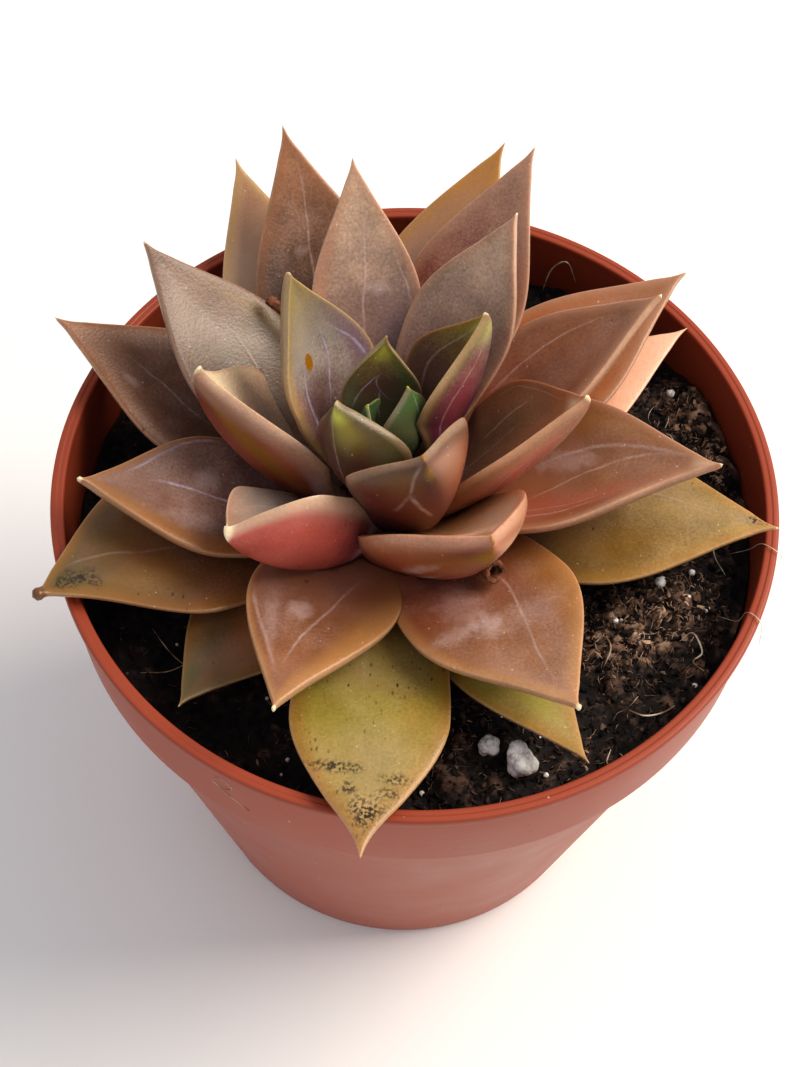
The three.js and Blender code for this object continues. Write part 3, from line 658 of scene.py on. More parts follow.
def patch(tree, on, t, s, long, wide, edge, strength, mask, ragged_by):
    """How much of a patch round (along, across) lies here, softer or more ragged at its edge."""
    scale = (1 / long, 1 / abs(wide), 0)
    offset = (-t * scale[0], -s * scale[1], 0)
    away = node(tree, "VectorMath", {0: on.at, 1: scale, 2: offset}, operation="MULTIPLY_ADD")
    far = node(tree, "VectorMath", {0: away}, operation="LENGTH").outputs["Value"]
    far = node(tree, "Math", {0: far, 1: ragged_by}, operation="ADD")
    spread = {"Value": far, "From Min": edge, "From Max": 1.3, "To Min": strength, "To Max": 0.0}
    amount = node(tree, "MapRange", spread, interpolation_type="SMOOTHSTEP")
    return node(tree, "Math", {0: amount, 1: mask}, operation="MULTIPLY")


def flesh(tree, on, look):
    """The flesh's colour changes along the leaf, unevenly and cell by cell, and in soft patches, some painted
    light and shade.
    """
    shifted = node(tree, "Math", {0: on.along, 1: on.uneven}, operation="ADD")
    shifted = node(tree, "Math", {0: on.stipple, 1: 0.6, 2: shifted}, operation="MULTIPLY_ADD")
    sides = []
    for colours in (look["under"], look["face"]):
        stops = list(zip(COLOUR_PLACES, (HUES[c] for c in colours)))
        sides.append(node(tree, "ValToRGB", {0: shifted}, stops=stops))
    skin = node(tree, "Mix", {"Factor": on.upper, "A": sides[0], "B": sides[1]}, data_type="RGBA")
    # Some patches are the leaf's own hues; others are painted light and shade: glow and pale facets where the
    # lamp falls, darker hues in shade.
    for t, s, long, wide, hue, strength in look.get("tints_and_painted_light", ()):
        side = on.upper if wide > 0 else on.below
        amount = patch(tree, on, t, s, long, wide, 0.1, strength, side, on.clouded)
        skin = node(tree, "Mix", {"Factor": amount, "A": skin, "B": linear(HUES[hue])}, data_type="RGBA")
    return skin


def margin(tree, on, look, skin):
    """The thin margin is warmer and paler, partly its own hue and partly painted glow, with a fine pale hem
    as painted highlight.
    """
    # The rim colour is partly the margin's own and partly a painted glow of light through it, reaching band
    # mm in on each side.
    left_band, right_band = look.get("band", (1.4, 1.4))
    sides = {"From Min": -0.3, "From Max": 0.3, "To Min": right_band, "To Max": left_band}
    band = node(tree, "MapRange", {"Value": on.across, **sides})
    inward = node(tree, "Math", {0: on.to_margin, 1: band}, operation="DIVIDE")
    inward = node(tree, "Math", {0: inward, 1: on.clouded}, operation="ADD")
    edge = {"Value": inward, "From Min": 0.0, "From Max": 1.4, "To Min": 0.65, "To Max": 0.0}
    rim = node(tree, "MapRange", edge, interpolation_type="SMOOTHSTEP")
    skin = node(tree, "Mix", {"Factor": rim, "A": skin, "B": linear(HUES[look["rim"]])}, data_type="RGBA")
    # Painted highlight: a fine pale line where the rounded margin catches light.
    edge = {"Value": on.to_margin, "From Min": 0.0, "From Max": HEM_HIGHLIGHT, "To Min": 0.3, "To Max": 0.0}
    hem_highlight = node(tree, "MapRange", edge)
    skin = node(tree, "Mix", {"Factor": hem_highlight, "A": skin, "B": linear(HUES["pale tan"])}, data_type="RGBA")
    return skin, inward


def wax_film(tree, on, look, skin, inward):
    """The wax film is a greyer haze on the upper side, thin at the margin."""
    bloom = 0.32 * look.get("bloom", 0.3)
    thick = {"From Min": 0.35, "From Max": 0.7, "To Min": 0.25 * bloom, "To Max": bloom}
    film = node(tree, "MapRange", {"Value": on.cloud, **thick}, interpolation_type="SMOOTHSTEP")
    powdery = node(tree, "Math", {0: on.grain, 1: 1.4, 2: 0.3}, operation="MULTIPLY_ADD")
    inside = node(tree, "MapRange", {"Value": inward, "From Min": 0.5, "From Max": 1.6})
    for share in (powdery, inside, on.upper):
        film = node(tree, "Math", {0: film, 1: share}, operation="MULTIPLY")
    return node(tree, "Mix", {"Factor": film, "A": skin, "B": linear(HUES["wax"])}, data_type="RGBA")


def deposits(tree, on, look, skin):
    """Thick wax and smears of dirt lie in ragged patches."""
    jagged = node(tree, "Math", {0: on.ragged, 1: 1.4, 2: -0.7}, operation="MULTIPLY_ADD")
    grit = node(tree, "TexNoise", {"Vector": on.spot, "Scale": per(GRIT), "Detail": 3.0})
    grit = node(tree, "MapRange", {"Value": grit, "From Min": 0.44, "From Max": 0.56})
    for t, s, long, wide, strength in look.get("wax", ()):
        side = on.upper if wide > 0 else on.below
        amount = patch(tree, on, t, s, long, wide, 0.2, strength, side, jagged)
        skin = node(tree, "Mix", {"Factor": amount, "A": skin, "B": linear(HUES["wax"])}, data_type="RGBA")
    for t, s, long, wide, strength in look.get("smears", ()):
        amount = patch(tree, on, t, s, long, wide, 0.3, strength, grit, jagged)
        skin = node(tree, "Mix", {"Factor": amount, "A": skin, "B": linear(HUES["dirt"])}, data_type="RGBA")
    return skin


def veins(tree, on, look, skin):
    """Veins, and lines where younger leaves pressed on this one: across = a + b along + c along squared."""
    ridges = 0.0
    squared = node(tree, "Math", {0: on.along, 1: on.along}, operation="MULTIPLY")
    wander = node(tree, "Math", {0: on.uneven, 1: 0.3, 2: on.across}, operation="MULTIPLY_ADD")
    powers = node(tree, "CombineXYZ", {0: squared, 1: on.along, 2: wander})
    tone = linear(HUES[look.get("line", "wax")])
    for first, second, third, width, strength in look.get("veins", ()):
        c, b, a = (float(v) for v in np.polyfit(*zip(first, second, third), 2))
        off = node(tree, "VectorMath", {0: powers, 1: (-c, -b, 1)}, operation="DOT_PRODUCT").outputs["Value"]
        off = node(tree, "Math", {0: off, 1: a}, operation="SUBTRACT")
        off = node(tree, "Math", {0: off, 1: on.half}, operation="MULTIPLY")
        off = node(tree, "Math", {0: off}, operation="ABSOLUTE")
        fade = {"Value": off, "From Min": 0.0, "From Max": abs(width), "To Min": strength, "To Max": 0.0}
        line = node(tree, "MapRange", fade, interpolation_type="SMOOTHSTEP")
        middle, reach = (first[0] + third[0]) / 2, abs(third[0] - first[0]) / 2
        off = node(tree, "Math", {0: on.along, 1: middle}, operation="SUBTRACT")
        off = node(tree, "Math", {0: off}, operation="ABSOLUTE")
        fade = {"From Min": reach * 0.6, "From Max": reach * 1.1, "To Min": 1.0, "To Max": 0.0}
        ends = node(tree, "MapRange", {"Value": off, **fade})
        worn = node(tree, "MapRange", {"Value": on.ragged, "From Min": 0.3, "From Max": 0.6, "To Min": 0.35})
        for share in (ends, on.upper if width > 0 else on.below, worn):
            line = node(tree, "Math", {0: line, 1: share}, operation="MULTIPLY")
        skin = node(tree, "Mix", {"Factor": line, "A": skin, "B": tone}, data_type="RGBA")
        ridges = node(tree, "Math", {0: line, 1: ridges}, operation="ADD")
    return skin, ridges


def dirt_and_dust(tree, on, look, skin):
    """Dry specks of dirt, longer than wide, and pale dust."""
    dirty = look.get("specks", 0.04)
    crowded = node(tree, "MapRange", {"Value": on.cloud, "From Min": 0.6 - 0.25 * dirty, "From Max": 0.7})
    flecks = node(tree, "VectorMath", {0: on.spot, 1: (1.0, 0.5, 1.0)}, operation="MULTIPLY")
    specks = dots(tree, flecks, DIRT_SPACING, 0.2, 0.15 + 0.5 * dirty)
    for share in (crowded, 0.9):
        specks = node(tree, "Math", {0: specks, 1: share}, operation="MULTIPLY")
    skin = node(tree, "Mix", {"Factor": specks, "A": skin, "B": linear(HUES["dirt"])}, data_type="RGBA")
    dust = dots(tree, on.spot, DUST_SPACING, 0.09, 0.4)
    dust = node(tree, "Math", {0: dust, 1: 0.45}, operation="MULTIPLY")
    return node(tree, "Mix", {"Factor": dust, "A": skin, "B": linear(HUES["cream"])}, data_type="RGBA")


def dry_places(tree, on, look, skin):
    """The hard point at the tip is dry, and so is the blemish of one leaf."""
    if "blemish" in look:
        dry = patch(tree, on, *look["blemish"], *DRY_SPOT, 0.95, 1.0, 1.0, 0.0)
        skin = node(tree, "Mix", {"Factor": dry, "A": skin, "B": linear(HUES["rust"])}, data_type="RGBA")
    bead = look.get("bead", 0.12)
    edge = {"From Min": bead * 1.4, "From Max": bead * 2.2 + 0.3, "To Min": 0.85, "To Max": 0.0}
    dry = node(tree, "MapRange", {"Value": on.to_tip, **edge}, interpolation_type="SMOOTHSTEP")
    hard = linear(HUES[look.get("mucro", "cream")])
    return node(tree, "Mix", {"Factor": dry, "A": skin, "B": hard}, data_type="RGBA")


def leaf_skin(place, look):
    """Succulent skin: a waxy film over watery flesh, so it shines softly and glows where it is thin."""
    material, tree, shader = finish_named(f"succulent_leaf_skin_{place}", **{
        "Subsurface Weight": 0.3, "Subsurface Scale": 2.2 * MM, "Subsurface Radius": (1.0, 0.4, 0.2),
        "Specular IOR Level": 0.45,
    })
    on = read_skin(tree)
    skin, inward = margin(tree, on, look, flesh(tree, on, look))
    skin = deposits(tree, on, look, wax_film(tree, on, look, skin, inward))
    skin, ridges = veins(tree, on, look, skin)
    skin = dry_places(tree, on, look, dirt_and_dust(tree, on, look, skin))

    light = node(tree, "Math", {0: on.mottle, 1: 0.36, 2: 0.82}, operation="MULTIPLY_ADD")
    light = node(tree, "Math", {0: on.grain, 1: 0.32, 2: light}, operation="MULTIPLY_ADD")
    light = node(tree, "Math", {0: light, 1: 0.18}, operation="SUBTRACT")
    skin = node(tree, "HueSaturation", {"Saturation": 1.05, "Value": light, "Color": skin})
    rough = node(tree, "Math", {0: on.mottle, 1: 0.2, 2: 0.22}, operation="MULTIPLY_ADD")
    height = node(tree, "Math", {0: on.mottle, 1: 1.5, 2: on.grain}, operation="MULTIPLY_ADD")
    height = node(tree, "Math", {0: ridges, 1: 1.5, 2: height}, operation="MULTIPLY_ADD")
    bump = node(tree, "Bump", {"Strength": 0.3, "Distance": 0.12 * MM, "Height": height})
    for socket, source in (("Base Color", skin), ("Roughness", rough), ("Normal", bump)):
        tree.links.new(source.outputs[0], shader.inputs[socket])
    return material


# ---------------------------------------------------------------- leaves

def leaf_width(t, widest, taper):
    grown = mix(LEAF["root_width"], 1.0, np.sin(np.minimum(t / widest, 1) * math.pi / 2))
    u = np.clip((t - widest) / (1 - widest), 0, 1)
    shrunk = mix(np.cos(u * math.pi / 2), (1 + np.cos(u * math.pi)) / 2, taper)
    return np.where(t < widest, grown, shrunk)


def leaf_form(row, extra=0.0):
    """A leaf's points and faces, and for each point: along, across, rise, half width, to margin, to tip."""
    place, tip, height, width, thick, bow, cup, shape = row
    look = LOOKS[place]
    tip = np.array(tip, float)
    foot = np.array([STEM["x"], STEM["y"], height], float)
    azimuth = math.atan2(tip[1] - foot[1], tip[0] - foot[0]) + math.radians(shape.get("turn", 0))
    outward = np.array([math.cos(azimuth), math.sin(azimuth), 0])
    root = foot + outward * (stem_radius(height) + 0.3)
    chord = unit(tip - root)
    left = np.array([-outward[1], outward[0], 0])
    left = unit(left - chord * (left @ chord))
    under = np.cross(left, chord)
    root = root - chord * extra
    tip = tip + chord * extra
    middle = (root + tip) / 2 + under * 2 * bow + left * 2 * shape.get("sway", 0)
    length = float(np.linalg.norm(tip - root))

    x = np.linspace(0, 1, STATIONS + 1)[:-1]
    t = mix(x, 0.5 - 0.5 * np.cos(math.pi * x), 0.55)
    widest = shape.get("widest", LEAF["widest"])
    taper = shape.get("taper", LEAF["taper"])
    bead = look.get("bead", 0.12)
    to_tip = (1 - t) * length
    ball = np.sqrt(np.clip(bead ** 2 - (to_tip - bead) ** 2, 0, None))
    pinch = 1 - 0.42 * (1 - np.array([smoothstep(v, 0, look.get("point", 0.09)) for v in 1 - t]))
    half = np.maximum(width / 2 * leaf_width(t, widest, taper) * pinch, ball) + extra
    grown = np.sin(np.minimum(t / LEAF["thickest"], 1) * math.pi / 2)
    depth = thick * mix(LEAF["root_thick"], 1.0, grown) * np.sqrt(1 - t ** 3)
    rim = cup * half * np.minimum(1, t / LEAF["cup_from"])

    angles = np.arange(AROUND) / AROUND * 2 * math.pi
    across, rise = np.cos(angles), np.sin(angles)
    rise = np.sign(rise) * np.abs(rise) ** LEAF["plump"]
    points, facts = [], []
    for j, share in enumerate(t):
        centre = (1 - share) ** 2 * root + 2 * share * (1 - share) * middle + share ** 2 * tip
        ahead = unit((1 - share) * (middle - root) + share * (tip - middle))
        s = spun(unit(left - ahead * (left @ ahead)), ahead, shape.get("roll", 0))
        n = np.cross(ahead, s)
        keel = 1 + KEEL * share * np.exp(-(across / 0.2) ** 2)
        up = max(LEAF["upper"] * depth[j], ball[j])
        down = np.maximum((1 - LEAF["upper"]) * depth[j] * keel, ball[j])
        lift = rim[j] * np.abs(across) ** LEAF["cup_power"] + (np.where(rise > 0, up, down) + extra) * rise
        for k in range(AROUND):
            p = centre + s * (half[j] * across[k]) + n * lift[k]
            wave = noise.noise(Vector(p / WAVE_LENGTH) + Vector((height, 0, 0))) * WAVE
            points.append(p + n * wave * min(1, to_tip[j] / 4))
            margin = half[j] * (1 - abs(across[k]))
            facts.append((share, across[k], rise[k], half[j], margin, to_tip[j]))
    points += [root, tip]
    facts += [(0, 0, 0, half[0], half[0], length), (1, 0, 0, 0, 0, 0)]
    return [tuple(p) for p in points], closed_faces(STATIONS, AROUND), facts


def note_places(piece, points, facts):
    """Stores on each point of a cut leaf where it lies on the whole leaf, for its colours."""
    tree = KDTree(len(points))
    for i, p in enumerate(points):
        tree.insert(Vector(p) * MM, i)
    tree.balance()
    facts = np.array(facts, float)
    place, span = [], []
    for vertex in piece.data.vertices:
        near = tree.find_n(vertex.co, 3)
        weights = np.array([1 / (distance + 1e-7) for _, _, distance in near])
        values = weights @ facts[[i for _, i, _ in near]] / weights.sum()
        place.extend(values[:3])
        span.extend(values[3:])
    for name, values in (("place", place), ("span", span)):
        attribute = piece.data.attributes.new(name, "FLOAT_VECTOR", "POINT")
        attribute.data.foreach_set("vector", values)


def tree_of(piece):
    corners = [v.co for v in piece.data.vertices]
    return BVHTree.FromPolygons(corners, [p.vertices for p in piece.data.polygons])


def make_leaves(stem_room):
    """Each leaf gives way to the stem and to the leaves before it in the list, which stand above it."""
    cutters = [(stem_room, tree_of(stem_room))]
    for row in LEAVES:
        name = f"leaf_{row[0]}"
        points, faces, facts = leaf_form(row)
        whole = make(f"{name}_skin", points, faces)
        shape = tree_of(whole)
        cut(whole, [cutter for cutter, tree in cutters if shape.overlap(tree)])
        kept, corners = keep_largest(whole.data)
        bpy.data.objects.remove(whole)
        piece = make(f"{name}_skin", kept, corners, leaf_skin(row[0], LOOKS[row[0]]))
        note_places(piece, points, facts)
        piece.data.set_sharp_from_angle(angle=math.radians(55))
        dress(piece, name.rsplit("_", 1)[0], name)
        more, corners, _ = leaf_form(row, GAP)
        grown = make(f"room_{row[0]}", more, corners)
        cutters.append((grown, tree_of(grown)))
    for cutter, _ in cutters:
        bpy.data.objects.remove(cutter)


# ---------------------------------------------------------------- stem and flower-stalk stubs

def bark(name, dark, light, ring):
    """Dry, corky stem skin: matte, with rings of old leaf scars."""
    material, tree, shader = finish_named(name, Roughness=0.82)
    spot = node(tree, "TexCoord").outputs["Object"]
    rough = node(tree, "TexNoise", {"Vector": spot, "Scale": per(ring), "Detail": 6.0, "Roughness": 0.7})
    scars = node(tree, "TexWave", {
        "Vector": spot, "Scale": per(ring * 6), "Distortion": 6.0, "Detail": 3.0,
    }, bands_direction="Z")
    both = node(tree, "Math", {0: scars.outputs["Fac"], 1: 0.15, 2: rough}, operation="MULTIPLY_ADD")
    colour = node(tree, "ValToRGB", {0: both}, stops=[(0.4, dark), (0.75, light)])
    tree.links.new(colour.outputs[0], shader.inputs["Base Color"])
    bump = node(tree, "Bump", {"Strength": 0.8, "Distance": 0.3 * MM, "Height": both})
    tree.links.new(bump.outputs[0], shader.inputs["Normal"])
    return material


def make_stem():
    side = [(r, z) for z, r in STEM["profile"]]
    fine = [(0, side[0][1])]
    for (r0, z0), (r1, z1) in zip(side, side[1:]):
        fine += [(mix(r0, r1, k / 5), mix(z0, z1, k / 5)) for k in range(5)]
    fine += [side[-1], (0, STEM["top"])]
    points, faces = turned(fine, 40, STEM["x"], STEM["y"])
    axis = Vector((STEM["x"], STEM["y"], 0))
    knobbly = []
    for p in points:
        out = Vector((p[0], p[1], 0)) - axis
        shrink = 1 - 0.07 * abs(noise.noise(Vector(p) * 0.5))
        knobbly.append(tuple(axis + out * shrink + Vector((0, 0, p[2]))))
    piece = make("stem_bark", knobbly, faces, bark("corky_stem_skin", "#2E1B12", "#7A573C", 1.2))
    dress(piece, "stem_bark", "stem")
    room = [(r + GAP, z) for r, z in fine]
    return make("room_stem", *turned(room, 32, STEM["x"], STEM["y"]))


def make_stub(stub, finish):
    """A dry hollow stalk, ragged at its mouth and shrunken along its sides."""
    start, end = Vector(stub["start"]), Vector(stub["end"])
    axis = end - start
    length = axis.length
    axis.normalize()
    side = axis.orthogonal().normalized()
    other = axis.cross(side)
    radius, bore, depth = stub["radius"], stub["bore"], stub["depth"]
    outer = [(0.8, 0.0), (0.92, 0.18), (0.9, 0.4), (0.86, 0.6), (0.9, 0.78), (0.99, 0.92), (1.0, 0.985)]
    wall = [(radius * r, length * z) for r, z in outer]
    mouth = [(radius * 0.93, length), (bore * 1.06, length * 0.995)]
    hollow = [(bore, length - 0.6), (bore * 0.9, length - depth)]
    rings = wall + mouth + hollow
    sides = 28
    points = []
    for r, z in rings:
        for k in range(sides):
            a = 2 * math.pi * k / sides
            flute = 1 + 0.05 * math.sin(5 * a + 0.25 * z) + 0.03 * math.sin(11 * a - 0.4 * z)
            near_mouth = max(0.0, 1 - (length - z) / 1.2)
            ragged = 0.35 * near_mouth * noise.noise(Vector((3 * math.cos(a), 3 * math.sin(a), length)))
            out = side * math.cos(a) + other * math.sin(a)
            points.append(tuple(start + axis * (z + ragged - 0.2 * near_mouth) + out * (r * flute)))
    points += [tuple(start), tuple(start + axis * (length - depth))]
    piece = make(f"{stub['name']}_dry", points, closed_faces(len(rings), sides), finish)
    dress(piece, "dry_stalk", stub["name"])


# ---------------------------------------------------------------- pot

# Pale and dark specks in the plastic: spacing, size, share, colour and strength.
DUST = [(2.6, 0.07, 0.25, "#E8CFC0", 0.5), (3.4, 0.09, 0.2, "#4A241A", 0.4)]


def moulded_plastic(name, colour, pale, rubbed):
    """Injection-moulded polypropylene: satin, faintly cloudy, with dust in it and slight flow marks."""
    material, tree, shader = finish_named(name, **{
        "IOR": 1.49, "Specular IOR Level": 0.35,
        "Subsurface Weight": 0.06, "Subsurface Scale": 1.5 * MM, "Subsurface Radius": (1.0, 0.35, 0.2),
    })
    spot = node(tree, "TexCoord").outputs["Object"]
    up = node(tree, "SeparateXYZ", {0: spot}).outputs[2]
    cloudy = node(tree, "TexNoise", {"Vector": spot, "Scale": per(14), "Detail": 4.0})
    fine = node(tree, "TexNoise", {"Vector": spot, "Scale": per(0.5), "Detail": 2.0})
    # Flow marks are long and low, so their pattern is stretched round the pot.
    flat = node(tree, "VectorMath", {0: spot, 1: (0.1, 0.1, 1.0)}, operation="MULTIPLY")
    flow = node(tree, "TexNoise", {"Vector": flat, "Scale": per(1.6), "Detail": 3.0})
    body = node(tree, "Mix", {"Factor": cloudy, "A": linear(colour), "B": linear(pale)}, data_type="RGBA")
    # The lip, rubbed clean and thicker, is a deeper red.
    lip_foot = POT["height"] - POT["lip_height"]
    edge = {"From Min": (lip_foot - 0.2) * MM, "From Max": (lip_foot + 0.2) * MM, "To Max": 0.85}
    lip = node(tree, "MapRange", {"Value": up, **edge})
    body = node(tree, "Mix", {"Factor": lip, "A": body, "B": linear(rubbed)}, data_type="RGBA")
    for spacing, size, share, tone, strength in DUST:
        dust = dots(tree, spot, spacing, size, share)
        amount = node(tree, "Math", {0: dust, 1: strength}, operation="MULTIPLY")
        body = node(tree, "Mix", {"Factor": amount, "A": body, "B": linear(tone)}, data_type="RGBA")
    tree.links.new(body.outputs[2], shader.inputs["Base Color"])
    rough = node(tree, "Math", {0: cloudy, 1: 0.25, 2: 0.3}, operation="MULTIPLY_ADD")
    tree.links.new(rough.outputs[0], shader.inputs["Roughness"])
    height = node(tree, "Math", {0: flow, 1: 1.0, 2: fine}, operation="MULTIPLY_ADD")
    bump = node(tree, "Bump", {"Strength": 0.3, "Distance": 0.06 * MM, "Height": height})
    tree.links.new(bump.outputs[0], shader.inputs["Normal"])
    return material


def filleted(corners):
    """A profile whose corners, given as (radius, height, rounding), are rounded off."""
    steps = 5
    profile = []
    last = len(corners) - 1
    for i, (r, z, rounding) in enumerate(corners):
        here = Vector((r, z))
        if rounding == 0 or i in (0, last):
            profile.append((r, z))
            continue
        before, after = (Vector(corners[n][:2]) for n in (i - 1, i + 1))
        come = here + (before - here) * min(rounding / (before - here).length, 0.48)
        go = here + (after - here) * min(rounding / (after - here).length, 0.48)
        for k in range(steps + 1):
            t = k / steps
            p = come * (1 - t) ** 2 + here * (2 * t * (1 - t)) + go * t * t
            profile.append((p.x, p.y))
    return profile


def make_pot():
    p = POT
    lip_foot = p["height"] - p["lip_height"]
    lip_inner = p["rim_radius"] - p["lip_width"]
    body_top = p["collar_foot_radius"] - p["step_width"]
    inner_foot = p["collar_foot_radius"] - p["wall"]
    corners = [
        (0, 0, 0),
        (wall_radius(0), 0, 1.6),
        (body_top, COLLAR_FOOT, 0.5),
        (p["collar_foot_radius"], COLLAR_FOOT, 0.7),
        (p["collar_top_radius"], lip_foot - 0.3, 0.15),
        (p["collar_top_radius"] - p["groove"], lip_foot, 0.15),
        (p["rim_radius"], lip_foot + 0.25, 0.3),
        (p["rim_radius"], p["height"], 0.7),
        (lip_inner + 1.1, p["height"], 0.1),
        (lip_inner + 0.95, p["height"] - 0.12, 0.1),
        (lip_inner, p["height"] - 0.12, 0.6),
        (inner_foot, COLLAR_FOOT, 0.8),
        (wall_radius(COLLAR_FOOT - 1.5) - p["wall"], COLLAR_FOOT - 1.5, 0.8),
        (wall_radius(p["floor"]) - p["wall"], p["floor"], 1.6),
        (0, p["floor"], 0),
    ]
    points, faces = turned(filleted(corners), 224)
    plastic = moulded_plastic("moulded_polypropylene_terracotta", "#98432B", "#A65338", "#98462F")
    piece = make("pot_shell", points, faces, plastic)
    drills = []
    for i in range(p["drain_holes"]):
        a = (i + 0.5) / p["drain_holes"] * 2 * math.pi
        drill = [(0, -1), (p["drain_radius"], -1), (p["drain_radius"], p["floor"] + 1), (0, p["floor"] + 1)]
        x, y = p["drain_circle"] * math.cos(a), p["drain_circle"] * math.sin(a)
        drills.append(make(f"drill_{i}", *turned(drill, 32, x, y)))
    cut(piece, drills)
    for drill in drills:
        bpy.data.objects.remove(drill)
    piece.data.set_sharp_from_angle(angle=math.radians(40))
    dress(piece, "pot_plastic", "pot")


# ---------------------------------------------------------------- soil and what lies on it

def heap_height(x, y):
    total = 0.0
    for (hx, hy), radius, height in HEAPS:
        d = math.hypot(x - hx, y - hy) / radius
        if d < 1.6:
            total += height * math.exp(-1.6 * d * d)
    return total


def dryness_and_painted_light(x, y):
    """How dry and brown the peat is, from 0 to 2: the heaps are, and the right side, partly as painted light.
    """
    return min(0.5 * smoothstep(x - 0.3 * y, 2, 28) + heap_height(x, y), 2)


def relief(x, y):
    """Clods and crumbs: rounded lumps with gaps between, coarser where the peat is dry."""
    p = Vector((x, y, 0))
    dry = dryness_and_painted_light(x, y)
    bent = p + Vector((noise.noise(p * 0.4), noise.noise(p * 0.4 + Vector((5, 5, 5))), 0)) * 1.5
    clods = 0.45 - noise.voronoi(bent * 0.38)[0][0]
    crumbs = 0.45 - noise.voronoi(bent * 0.85)[0][0]
    rough = 0.45 * noise.fractal(p * 0.32, 0.9, 2.1, 5)
    return rough + (0.5 + 0.7 * dry) * clods + (0.45 + 0.3 * dry) * crumbs


def ground(x, y):
    """The soil's finished surface: the solid's, with heaps, clods and crumbs."""
    return soil_height(x, y) + heap_height(x, y) + relief(x, y)


def peat(name, stops, gloss):
    """Damp peat: near-black crumbs with brown fibres, matte with a slight wet gleam."""
    material, tree, shader = finish_named(name, **{"Roughness": gloss, "Specular IOR Level": 0.3})
    spot = node(tree, "TexCoord").outputs["Object"]
    crumbly = {"Vector": spot, "Scale": per(1.1), "Detail": 6.0, "Roughness": 0.75}
    lumps = node(tree, "TexNoise", crumbly)
    broad = node(tree, "TexNoise", {"Vector": spot, "Scale": per(7), "Detail": 2.0})
    tone = node(tree, "Attribute", attribute_name="tone").outputs["Fac"]
    both = node(tree, "Math", {0: lumps, 1: 0.5, 2: tone}, operation="MULTIPLY_ADD")
    both = node(tree, "Math", {0: broad, 1: 0.25, 2: both}, operation="MULTIPLY_ADD")
    colour = node(tree, "ValToRGB", {0: both}, stops=stops)
    tree.links.new(colour.outputs[0], shader.inputs["Base Color"])
    bump = node(tree, "Bump", {"Strength": 0.9, "Distance": 0.35 * MM, "Height": lumps})
    tree.links.new(bump.outputs[0], shader.inputs["Normal"])
    return material


PEAT_STOPS = [(0.28, "#0B0909"), (0.46, "#2A2220"), (0.62, "#6E5547"), (0.88, "#C4A58A")]


def set_tone(piece, values):
    attribute = piece.data.attributes.new("tone", "FLOAT", "POINT")
    attribute.data.foreach_set("value", values)


def soil_radius(z):
    """The soil's radius beside the pot's wall."""
    return wall_radius(z) - POT["wall"] - SOIL["wall_gap"]


def make_soil():
    sides, rings = 400, 110
    bottom = POT["floor"] + SOIL["wall_gap"]
    edge = soil_radius(COLLAR_FOOT)
    profile = [(0, bottom), (soil_radius(bottom) - 1.8, bottom), (soil_radius(bottom + 1.5), bottom + 1.5)]
    profile += [(soil_radius(COLLAR_FOOT - 1.5), COLLAR_FOOT - 1.5)]
    surface = POT["height"]         # stands for the ground's own height, set point by point
    profile += [(edge * (1 - k / rings), surface) for k in range(rings)] + [(0, surface)]
    points, faces = turned(profile, sides)
    points = [(x, y, ground(x, y) if z == surface else z) for x, y, z in points]
    piece = make("soil_peat", points, faces, peat("damp_peat", PEAT_STOPS, 0.75))
    # Paler on the dry heaps and on the right side, where the paler tone is partly painted light.
    tones = []
    for x, y, _ in points:
        # Paler on top of the clods and darker in the gaps between them: painted shade.
        relief_for_painted_shade = max(min(relief(x, y), 0.8), -0.8)
        tones.append(0.03 + 0.1 * dryness_and_painted_light(x, y) + 0.3 * relief_for_painted_shade)
    set_tone(piece, tones)
    piece.data.set_sharp_from_angle(angle=math.radians(60))
    dress(piece, "peat", "soil")


# The twelve corners and twenty faces of a regular icosahedron, which a crumb starts from.
GOLDEN = (1 + 5 ** 0.5) / 2
CRUMB_CORNERS = [Vector(corner).normalized() for corner in (
    (-1, GOLDEN, 0), (1, GOLDEN, 0), (-1, -GOLDEN, 0), (1, -GOLDEN, 0),
    (0, -1, GOLDEN), (0, 1, GOLDEN), (0, -1, -GOLDEN), (0, 1, -GOLDEN),
    (GOLDEN, 0, -1), (GOLDEN, 0, 1), (-GOLDEN, 0, -1), (-GOLDEN, 0, 1),
)]
CRUMB_FACES = [
    (0, 11, 5), (0, 5, 1), (0, 1, 7), (0, 7, 10), (0, 10, 11), (1, 5, 9), (5, 11, 4), (11, 10, 2), (10, 7, 6),
    (7, 1, 8), (3, 9, 4), (3, 4, 2), (3, 2, 6), (3, 6, 8), (3, 8, 9), (4, 9, 5), (2, 4, 11), (6, 2, 10),
    (8, 6, 7), (9, 8, 1),
]


def lump(centre, radius, draw):
    """A small angular crumb or flake, somewhat flattened: a regular solid with its corners moved."""
    angle = draw.uniform(0, 6.28)
    axis = Vector((draw.gauss(0, 1), draw.gauss(0, 1), 1)).normalized()
    turn = Matrix.Rotation(angle, 3, axis)
    stretch = Vector((draw.uniform(0.9, 1.9), draw.uniform(0.6, 1.3), draw.uniform(0.4, 0.9)))
    points = []
    for corner in CRUMB_CORNERS:
        v = turn @ (corner * draw.uniform(0.5, 1.25) * radius * stretch)
        points.append((centre[0] + v.x, centre[1] + v.y, centre[2] + v.z * 0.75))
    return points, CRUMB_FACES


def drawn_place(draw, reach):
    """A random place on the soil, within reach of the pot's axis."""
    r = reach * math.sqrt(draw.random())
    a = draw.uniform(0, 2 * math.pi)
    return r * math.cos(a), r * math.sin(a)


